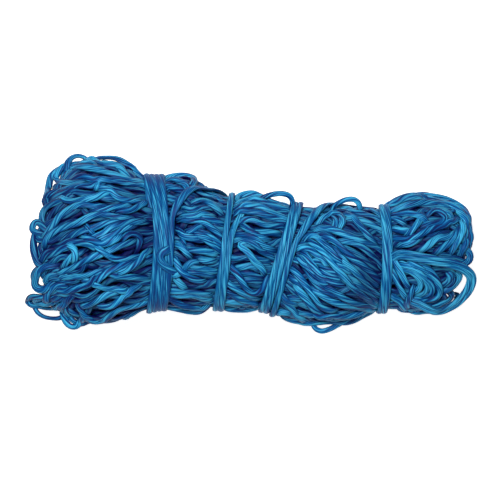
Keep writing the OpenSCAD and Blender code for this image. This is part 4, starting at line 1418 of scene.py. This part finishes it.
@dataclass
class TieCord:
    """The cord wound round the net at four places, with a crossing stretch between each two."""

    bundle: Bundle
    half_width: float = 3.1
    half_thick: float = 1.8
    snug: float = 4.6
    rings_per_turn: int = 64
    crossing_rings: int = 28
    exit_angle: float = 70
    sweep_angle: float = 90
    # For each binding, how far its turns bow along X and the share of its width that they take.
    bows: tuple = (8, 0, 0, 3)
    bow_middle: float = 0.6
    squeeze: tuple = (0.9, 1.0, 1.0, 0.95)
    # For each crossing stretch, how soon it turns, its half width, and how far it sinks among the twines.
    ease: tuple = (1, 1.5, 2.5)
    crossing_widths: tuple = (4.3, 3.1, 4.4)
    sinks: tuple = (0.5, 6.0, 0.0)
    sink_share: float = 0.2
    last_turn: float = 0.28
    tuck_steps: int = 7
    tuck_depth: float = 15.0
    smooth_steps: float = 2.0
    settle_step: float = 3.5
    hitch_step: float = 1.6
    hitch_width: float = 4.2
    # X, Y and height over the skin of the hitch's bends.
    hitch: tuple = (
        (-78, -4, 1), (-83, -6.5, 7), (-88.5, -9, 8.4), (-91, -13.5, 8.4), (-89.5, -18.5, 8.4),
        (-85, -23, 8.2), (-79, -27, 5), (-73, -29, 0), (-68, -31, -4),
    )

    def routes(self) -> dict:
        """The cord's one smooth line in stretches.

        Returns:
            For each CAD node's name, rows of x, angle and distance out.
        """
        b = self.bundle
        names, x, angle, out = [], [], [], []
        start = self.exit_angle
        for n, (first, last) in enumerate(b.bands):
            at_end = n == len(b.bands) - 1
            turns = b.turns[n] + (self.last_turn if at_end else 0)
            t = np.linspace(0, 1, int(turns * self.rings_per_turn) + 1)
            turned = start - 360 * turns * t
            middle = (first + last) / 2
            along = middle + (first + (last - first) * t - middle) * self.squeeze[n]
            along = along + self.bows[n] * (np.sin(np.radians(turned)) ** 2 - self.bow_middle)
            names += [f"tie_binding_{n + 1}"] * len(t)
            x, angle, out = [*x, *along], [*angle, *turned], [*out, *np.full(t.shape, self.snug)]
            if not at_end:
                t = np.linspace(0, 1, self.crossing_rings)
                names += [f"tie_crossing_{n + 1}"] * len(t)
                x += [*(last + (b.bands[n + 1][0] - last) * t)]
                angle += [*(turned[-1] - self.sweep_angle * (1 - (1 - t) ** self.ease[n]))]
                start = turned[-1] - self.sweep_angle
                sunk = np.clip(np.minimum(t, 1 - t) / self.sink_share, 0, 1)
                out += [*(self.snug - self.sinks[n] * sunk)]
        tucked = np.clip(1 - np.arange(len(x)) / self.tuck_steps, 0, 1) ** 2
        rows = np.array([x, angle, np.array(out) - self.tuck_depth * (tucked + tucked[::-1])])
        rows = [soften(row, self.smooth_steps) for row in rows]
        found = {}
        for name in dict.fromkeys(names):
            places = [i for i, other in enumerate(names) if other == name]
            found[name] = tuple(row[places[0]:places[-1] + 2] for row in rows)
        return found

    def fixed(self) -> list[Strand]:
        """The tie's lines, round which the twines settle.

        Returns:
            One strand for each stretch.
        """
        lines = [self.bundle.skin(*route) for route in self.routes().values()]
        lines = [even_steps(line, self.settle_step) for line in lines]
        return [Strand(line, closed=False, firm=1.0, mobility=0.02, pad=9.0) for line in lines]

    def build(self, finish: bpy.types.Material, rng: np.random.Generator) -> None:
        """Makes the bindings and crossings, each in place of its CAD node, and the hitch on the first.

        Args:
            finish: The cord's material.
            rng: Goes with every sweep, and draws nothing for this cord.
        """
        b = self.bundle
        flat = CordSweep(sides=20, lobes=5, lobe_depth=0.02, half_thick=self.half_thick)
        start = 0.0
        for name, (x, angle, out) in self.routes().items():
            line = b.skin(x, angle, out)
            crossing = "crossing" in name
            flat.half_width = self.crossing_widths[int(name[-1]) - 1] if crossing else self.half_width
            piece = flat.sweep(name + "_cord", [(line, False)], finish, rng, [b.outward(x, angle)],
                               self.half_width / flat.half_width, start)
            stand_for(piece, name)
            start += walk_along(line[:-1])[-1]
        line = even_steps(smooth_line(b.over(np.array(self.hitch, float))), self.hitch_step)
        flat.half_width = self.hitch_width
        piece = flat.sweep("tie_binding_1_hitch", [(line, False)], finish, rng, [b.normals(line)],
                           1.0, 0.0)
        stand_for(piece, "tie_binding_1")


@dataclass
class PullLoop:
    """The doubled end of the tie cord at the right end, which lifts off the tail."""

    bundle: Bundle
    seat: float = 6.5
    rise: float = 6.5
    rise_reach: float = 16
    # X from the last binding, angle, and distance out beside the seat's, which takes the roots in.
    route: tuple = (
        (-5, 87, -8), (0, 87.5, -4.5), (6, 88, -1), (14, 89.5, 0), (22, 91, 0), (40, 94, 0), (58, 97, 0),
        (72, 103, 0), (81, 113, 0), (83.3, 126, 0), (79, 139, 0), (68, 149, 0), (54, 152, 0), (40, 150, 0),
        (30, 147.5, -1.5), (22, 146, -5), (16, 145, -10),
    )
    apart: float = 4.7
    step: float = 2.0
    bend: float = 16.0

    def lines(self) -> dict:
        """The lines of the outer strand, on the CAD route, and of the inner one, close inside it.

        Returns:
            For each piece's name, its line.
        """
        b = self.bundle
        spots = smooth_line(np.array(self.route, float))
        x = b.bands[3][1] + spots[:, 0]
        lift = np.interp(x, [b.bays[4], b.bays[4] + self.rise_reach], [0, self.rise])
        outer = even_steps(b.skin(x, spots[:, 1], self.seat + lift + spots[:, 2]), self.step)
        side = unit(np.cross(b.normals(outer), CordSweep.headings(outer, False)))
        inner = even_steps(outer - side * self.apart, self.step)
        return {"pull_loop_outer_strand": outer, "pull_loop_inner_strand": inner}

    def build(self, finish: bpy.types.Material, rng: np.random.Generator) -> None:
        """Makes both strands.

        Args:
            finish: The cord's material.
            rng: Draws the strands' roll and tone.
        """
        sweep = CordSweep(lobes=5, half_width=2.7, half_thick=2.3, sway=15)
        for name, line in self.lines().items():
            ups = sweep.rolled(line, False, self.bundle.normals(line), rng)
            piece = sweep.sweep(name, [(line, False)], finish, rng, [ups])
            free_loop(piece, "pull_loop", "pull_loop", line)


@dataclass(frozen=True)
class StandingLoop:
    """A bight of net twine that stands out of the bundle's side."""

    node: str
    body: str
    bends: tuple
    step: float = 1.6
    bend: float = 8.0

    def build(self, finish: bpy.types.Material, rng: np.random.Generator) -> None:
        """Makes the bight in place of its CAD node.

        Args:
            finish: The twine's material.
            rng: Draws its roll and tone.
        """
        sweep = CordSweep(lobes=5, half_width=2.6, half_thick=2.3, sway=15)
        line = even_steps(smooth_line(np.array(self.bends, float)), self.step)
        ups = sweep.rolled(line, False, sweep.untwisted(line), rng)
        piece = sweep.sweep(self.node + "_twine", [(line, False)], finish, rng, [ups])
        free_loop(piece, self.node, self.body, line)


STANDING_LOOPS = (
    StandingLoop("far_standing_loop", "far_loop", (
        (0, 35, 41), (4, 40, 44), (9, 45, 46), (18, 48.5, 47), (28, 50, 48), (36, 48.5, 48), (40, 44, 47),
        (40, 38, 44), (37, 32, 40))),
    StandingLoop("small_standing_loop", "small_loop", (
        (77, 27, 41), (79, 32, 44.5), (82, 37.5, 47), (88, 41.5, 49), (95, 44, 50), (102, 44, 50),
        (106.5, 40.5, 49), (108, 36, 47), (109, 30, 44))),
    StandingLoop("near_standing_loop", "near_loop", (
        (62, -70, 33), (61, -79, 33), (64, -85.5, 33), (70, -88, 33), (77, -86.5, 33), (85, -82.5, 33),
        (92, -78, 33), (98, -70, 33))),
)


@dataclass
class MeshKnots:
    """The knots that tie neighbouring twines together, in four rows round the bundle."""

    bundle: Bundle
    lowest: float = 9.0
    side_on: float = 0.3
    widest: float = 10
    reach: float = 7.0
    seen_reach: float = 4.8
    rise: float = 2.4
    fall: float = 6.0
    lean: float = 0.5
    points: int = 9
    step: float = 1.2
    # The knots that show on top, row by row: X, Y, height over the skin and heading.
    seen: tuple = (
        ((-161, 15, 1, 125), (-158, 12, 1, 125), (-153, 56, 1, 60)),
        ((-68, 1, 2, -60),),
        (),
        (),
    )

    def pairs(self, outer: list[Strand]) -> list:
        """Places on neighbouring twines that are tied.

        Args:
            outer: The outer twines.

        Returns:
            The row of each knot and two places, each the number of a twine and of a point on it.
        """
        b = self.bundle
        runs = {}
        for n in range(len(outer)):
            runs[first_run(n)], runs[first_run(n) + 2] = n, n
        found = []
        for row, bay in enumerate((b.bays[0], b.bays[1], b.bays[2], b.bays[4])):
            x = np.array([bay])
            for m in range(RUNS // 2):
                both = []
                for k in (2 * m + row % 2, (2 * m + row % 2 + 1) % RUNS):
                    spot = b.skin(x, b.angle_at(x, np.array([(k + 0.5) / RUNS]) + b.at(b.twist, x)))[0]
                    points = outer[runs[k]].points
                    near = np.argmin(np.linalg.norm(points - spot, axis=1))
                    both.append((runs[k], int(np.clip(near, 1, len(points) - 2))))
                if spot[2] > self.lowest:
                    found.append((row, *both))
        return found

    def turn(self, middle: np.ndarray, way: np.ndarray, up: np.ndarray, reach: float) -> np.ndarray:
        """The line of a short turn that goes over the twines at a knot and down on both sides."""
        t = np.linspace(-1, 1, self.points)[:, None]
        return middle + reach * t * way + (self.rise - (self.rise + self.fall) * t**2) * up

    def row_turns(self, row: int, outer: list[Strand], tied: list) -> tuple:
        """The turns of one row of knots.

        Args:
            row: The row's number.
            outer: The settled outer twines.
            tied: The places that are tied.

        Returns:
            The turns' lines and their outward directions.
        """
        lines, ups = [], []
        for which, (s, i), (t, j) in tied:
            a, b = outer[s].points, outer[t].points
            middle = (a[i] + b[j]) / 2
            up = self.bundle.normals(middle[None])[0]
            if which == row and np.linalg.norm(a[i] - b[j]) < self.widest and up[2] < self.side_on:
                along = unit(a[i + 1] - a[i - 1])
                across = unit(np.cross(up, along))
                lines += [self.turn(middle, unit(across + lean * along), up, self.reach)
                          for lean in (self.lean, -self.lean)]
                ups += [up, up]
        for x, y, lift, heading in self.seen[row]:
            middle = self.bundle.over(np.array([[x, y, lift]], float))[0]
            way = np.array([math.cos(math.radians(heading)), math.sin(math.radians(heading)), 0.0])
            up = np.array([0.0, 0.0, 1.0])
            lines.append(self.turn(middle, way, up, self.seen_reach))
            ups.append(up)
        return [even_steps(line, self.step) for line in lines], ups

    def build(self, outer: list[Strand], tied: list, finish: bpy.types.Material,
              rng: np.random.Generator) -> None:
        """Makes the rows of knots on the settled twines.

        Args:
            outer: The settled outer twines.
            tied: The places that are tied.
            finish: The twine's material.
            rng: Draws each turn's roll and tone.
        """
        sweep = CordSweep(lobes=5, half_width=3.0, half_thick=1.7, sway=0)
        for row in range(len(self.seen)):
            lines, ups = self.row_turns(row, outer, tied)
            ups = [np.tile(up, (len(line), 1)) for line, up in zip(lines, ups)]
            ups = [sweep.rolled(line, False, up, rng) for line, up in zip(lines, ups)]
            node = f"knot_row_{row + 1}"
            piece = sweep.sweep(node + "_twine", [(line, False) for line in lines], finish, rng, ups)
            stand_for(piece, node)


@dataclass
class NetTwines:
    """The net: its outer twines, the folds under them, the bights at its ends and the twines on top."""

    bundle: Bundle
    rng: np.random.Generator
    outer_layer: Layer = Layer("outer", loops=16, depth=0.0, setback=8.0, tail_setback=6.0, wander=8.0,
                               ripple=1.4, sag=2.5, step=2.6)
    fold_layers: tuple = (
        Layer("near_skin", loops=18, depth=-4.0, setback=8.0, tail_setback=3.0, wander=9.0, ripple=2.4,
              sag=2.5, step=3.2, offset=0.5),
        Layer("middle", loops=22, depth=-8.0, setback=9.0, tail_setback=4.0, wander=9.0, ripple=2.4,
              sag=2.0, step=3.2),
        Layer("deep", loops=20, depth=-13.0, setback=11.0, tail_setback=5.0, wander=8.0, ripple=2.0,
              sag=1.5, step=3.4),
        Layer("core", loops=18, depth=-19.0, setback=13.0, tail_setback=6.0, wander=8.0, ripple=2.0,
              sag=1.0, step=3.6),
    )
    bight_step: float = 2.6
    surface_step: float = 2.2
    # How much a twine on top turns its flat side up, beside out of the bundle.
    surface_upward: float = 0.9
    settled_span: int = 3

    def __post_init__(self) -> None:
        """Lays all the twines, before they settle."""
        gatherer = Gatherer(self.bundle, self.rng)
        self.outer = gatherer.outer(self.outer_layer)
        self.folds = {layer.name: gatherer.filling(layer) for layer in self.fold_layers}
        self.bights = gatherer.bights(-1) + gatherer.bights(1)
        self.top = {place: gatherer.surface(place) for place in Place}

    def strands(self) -> list[Strand]:
        """All the twines, with the outer ones first."""
        groups = [self.outer, *self.folds.values(), self.bights, *self.top.values()]
        return [strand for group in groups for strand in group]

    def build(self, finish: bpy.types.Material) -> None:
        """Makes the settled twines: a piece for each outer one and for each other group.

        Args:
            finish: The twine's material.
        """
        sweep, plain = CordSweep(bundle=self.bundle), CordSweep(sides=10, lobes=5, bundle=self.bundle)
        for strand in self.outer:
            piece = self.piece(strand.name + "_twine", [strand], sweep, self.outer_layer.step, finish)
            stand_for(piece, strand.name)
        for place, group in self.top.items():
            name = f"surface_{place.value}_twines"
            piece = self.piece(name, group, sweep, self.surface_step, finish, self.surface_upward)
            stand_for(piece, "inner_folds")
        for layer in self.fold_layers:
            name = f"inner_folds_{layer.name}"
            piece = self.piece(name, self.folds[layer.name], plain, layer.step, finish)
            stand_for(piece, "inner_folds")
        piece = self.piece("inner_folds_end_bights", self.bights, plain, self.bight_step, finish)
        stand_for(piece, "inner_folds")

    def piece(self, name: str, group: list[Strand], tool: CordSweep, step: float,
              finish: bpy.types.Material, upward: float = 0.0) -> bpy.types.Object:
        """One piece of settled twines.

        Args:
            name: The piece's name.
            group: The twines in it.
            tool: What sweeps them.
            step: The distance between the rings of a twine.
            finish: The twine's material.
            upward: How much the twines turn their flat side up.

        Returns:
            The piece.
        """
        lines = [(smooth_line(s.points, self.settled_span, s.closed), s.closed) for s in group]
        lines = [(even_steps(line, step, closed), closed) for line, closed in lines]
        lift = np.array([0.0, 0.0, upward])
        ups = [unit(self.bundle.normals(line) + lift) for line, _ in lines]
        ups = [tool.rolled(line, closed, up, self.rng) for (line, closed), up in zip(lines, ups)]
        return tool.sweep(name, lines, finish, self.rng, ups)


@dataclass(frozen=True)
class Lamp:
    """A square soft lamp: its place and the length of its sides in metres, and its power in watts."""

    name: str
    place: tuple
    size: float
    watts: float

    def build(self, aim: tuple) -> None:
        """Makes the lamp.

        Args:
            aim: The point that it is turned to, in metres.
        """
        lamp = bpy.data.objects.new(self.name, bpy.data.lights.new(self.name, "AREA"))
        lamp.data.size = self.size
        lamp.data.energy = self.watts
        lamp.location = self.place
        lamp.rotation_euler = (Vector(aim) - Vector(self.place)).to_track_quat("-Z", "Y").to_euler()
        bpy.context.scene.collection.objects.link(lamp)


@dataclass
class Studio:
    """White sweep, soft light from the camera's side and a long lens straight above."""

    across: float = 500.0
    height: float = 2500.0
    sensor: float = 36.0
    clip_end: float = 20
    look_at: tuple = (-2.0, -6.5, 50.0)
    lamps: tuple = (Lamp("key", (-0.3, 0.45, 1.7), 0.4, 24.5), Lamp("fill", (0.3, -0.7, 1.7), 0.8, 4))
    lamp_aim: tuple = (0, 0, 0.04)
    room: str = "#dfe6ee"
    room_light: float = 0.12
    paper: str = "#f2f2f2"
    paper_glow: float = 0.86
    floor_half: float = 6.0

    @classmethod
    def seen(cls, p: np.ndarray) -> np.ndarray:
        """Moves points so that the camera sees them at their X and Y in the plane that it is aimed at.

        Args:
            p: The points.

        Returns:
            The points at the X and Y that this takes.
        """
        x, y, z = cls.look_at
        nearer = 1 - (p[:, 2:] - z) / cls.height
        return np.hstack([(p[:, :2] - (x, y)) * nearer + (x, y), p[:, 2:]])

    def build(self) -> None:
        """Makes the camera, the lamps, the floor and the world."""
        scene = bpy.context.scene
        scene.view_settings.view_transform = "Standard"
        cam = bpy.data.objects.new("camera", bpy.data.cameras.new("camera"))
        cam.data.sensor_width = self.sensor
        cam.data.lens = self.sensor * self.height / self.across
        cam.data.clip_end = self.clip_end
        cam.location = Vector(self.look_at) * MM + Vector((0, 0, self.height * MM))
        scene.collection.objects.link(cam)
        scene.camera = cam
        for lamp in self.lamps:
            lamp.build(self.lamp_aim)
        self._floor()
        world = bpy.data.worlds.new("room")
        scene.world = world
        world.use_nodes = True
        world.node_tree.nodes.clear()
        add = NodeMaker(world.node_tree)
        white = add("ShaderNodeBackground", {}, {"Color": (1, 1, 1, 1), "Strength": 1.0})
        dim = add("ShaderNodeBackground", {}, {"Color": linear(self.room), "Strength": self.room_light})
        mix = add("ShaderNodeMixShader", links={
            0: self._direct(add), 1: dim.outputs[0], 2: white.outputs[0]})
        add("ShaderNodeOutputWorld", links={"Surface": mix.outputs[0]})

    @staticmethod
    def _direct(add: NodeMaker) -> bpy.types.NodeSocket:
        """A socket that is one for rays from the camera, by way of gloss or glass too.

        Args:
            add: Adds nodes to the tree.

        Returns:
            The socket.
        """
        rays = add("ShaderNodeLightPath")
        gloss = add("ShaderNodeMath", {"operation": "MAXIMUM"}, links={
            0: rays.outputs["Is Camera Ray"], 1: rays.outputs["Is Glossy Ray"]})
        both = add("ShaderNodeMath", {"operation": "MAXIMUM"}, links={
            0: gloss.outputs[0], 1: rays.outputs["Is Transmission Ray"]})
        return both.outputs[0]

    def _floor(self) -> None:
        """A pale floor that looks white to the camera and keeps the net's shadow."""
        far = self.floor_half
        mesh = bpy.data.meshes.new("floor")
        corners = [(-far, -far, 0), (far, -far, 0), (far, far, 0), (-far, far, 0)]
        mesh.from_pydata(corners, [], [(0, 1, 2, 3)])
        floor = bpy.data.objects.new("floor", mesh)
        bpy.context.scene.collection.objects.link(floor)
        mat = bpy.data.materials.new("white_paper")
        mat.use_nodes = True
        mat.node_tree.nodes.clear()
        add = NodeMaker(mat.node_tree)
        paper = add("ShaderNodeBsdfDiffuse", {}, {"Color": linear(self.paper)})
        glow = add("ShaderNodeEmission", {}, {"Color": (1, 1, 1, 1), "Strength": self.paper_glow})
        none = add("ShaderNodeEmission", {}, {"Strength": 0.0})
        lit = add("ShaderNodeMixShader", links={
            0: self._direct(add), 1: none.outputs[0], 2: glow.outputs[0]})
        total = add("ShaderNodeAddShader", links={0: paper.outputs[0], 1: lit.outputs[0]})
        add("ShaderNodeOutputMaterial", links={"Surface": total.outputs[0]})
        mesh.materials.append(mat)


def main() -> None:
    """Builds the studio and the net."""
    logging.basicConfig(level=logging.INFO)
    rng = np.random.default_rng(SEED)
    bundle = Bundle()
    Studio().build()
    twine, cord = NET_FINISH.material(), TIE_FINISH.material()
    PullLoop(bundle).build(cord, rng)
    for loop in STANDING_LOOPS:
        loop.build(twine, rng)
    net = NetTwines(bundle, rng)
    tie, knots = TieCord(bundle), MeshKnots(bundle)
    tied = knots.pairs(net.outer)
    strands = net.strands() + tie.fixed()
    Settler(bundle).settle(strands, [(a, b) for _, a, b in tied])
    log.info("settled %d twines with %d knots", len(strands), len(tied))
    net.build(twine)
    knots.build(net.outer, tied, twine, rng)
    tie.build(cord, rng)


if __name__ == "__main__":
    main()
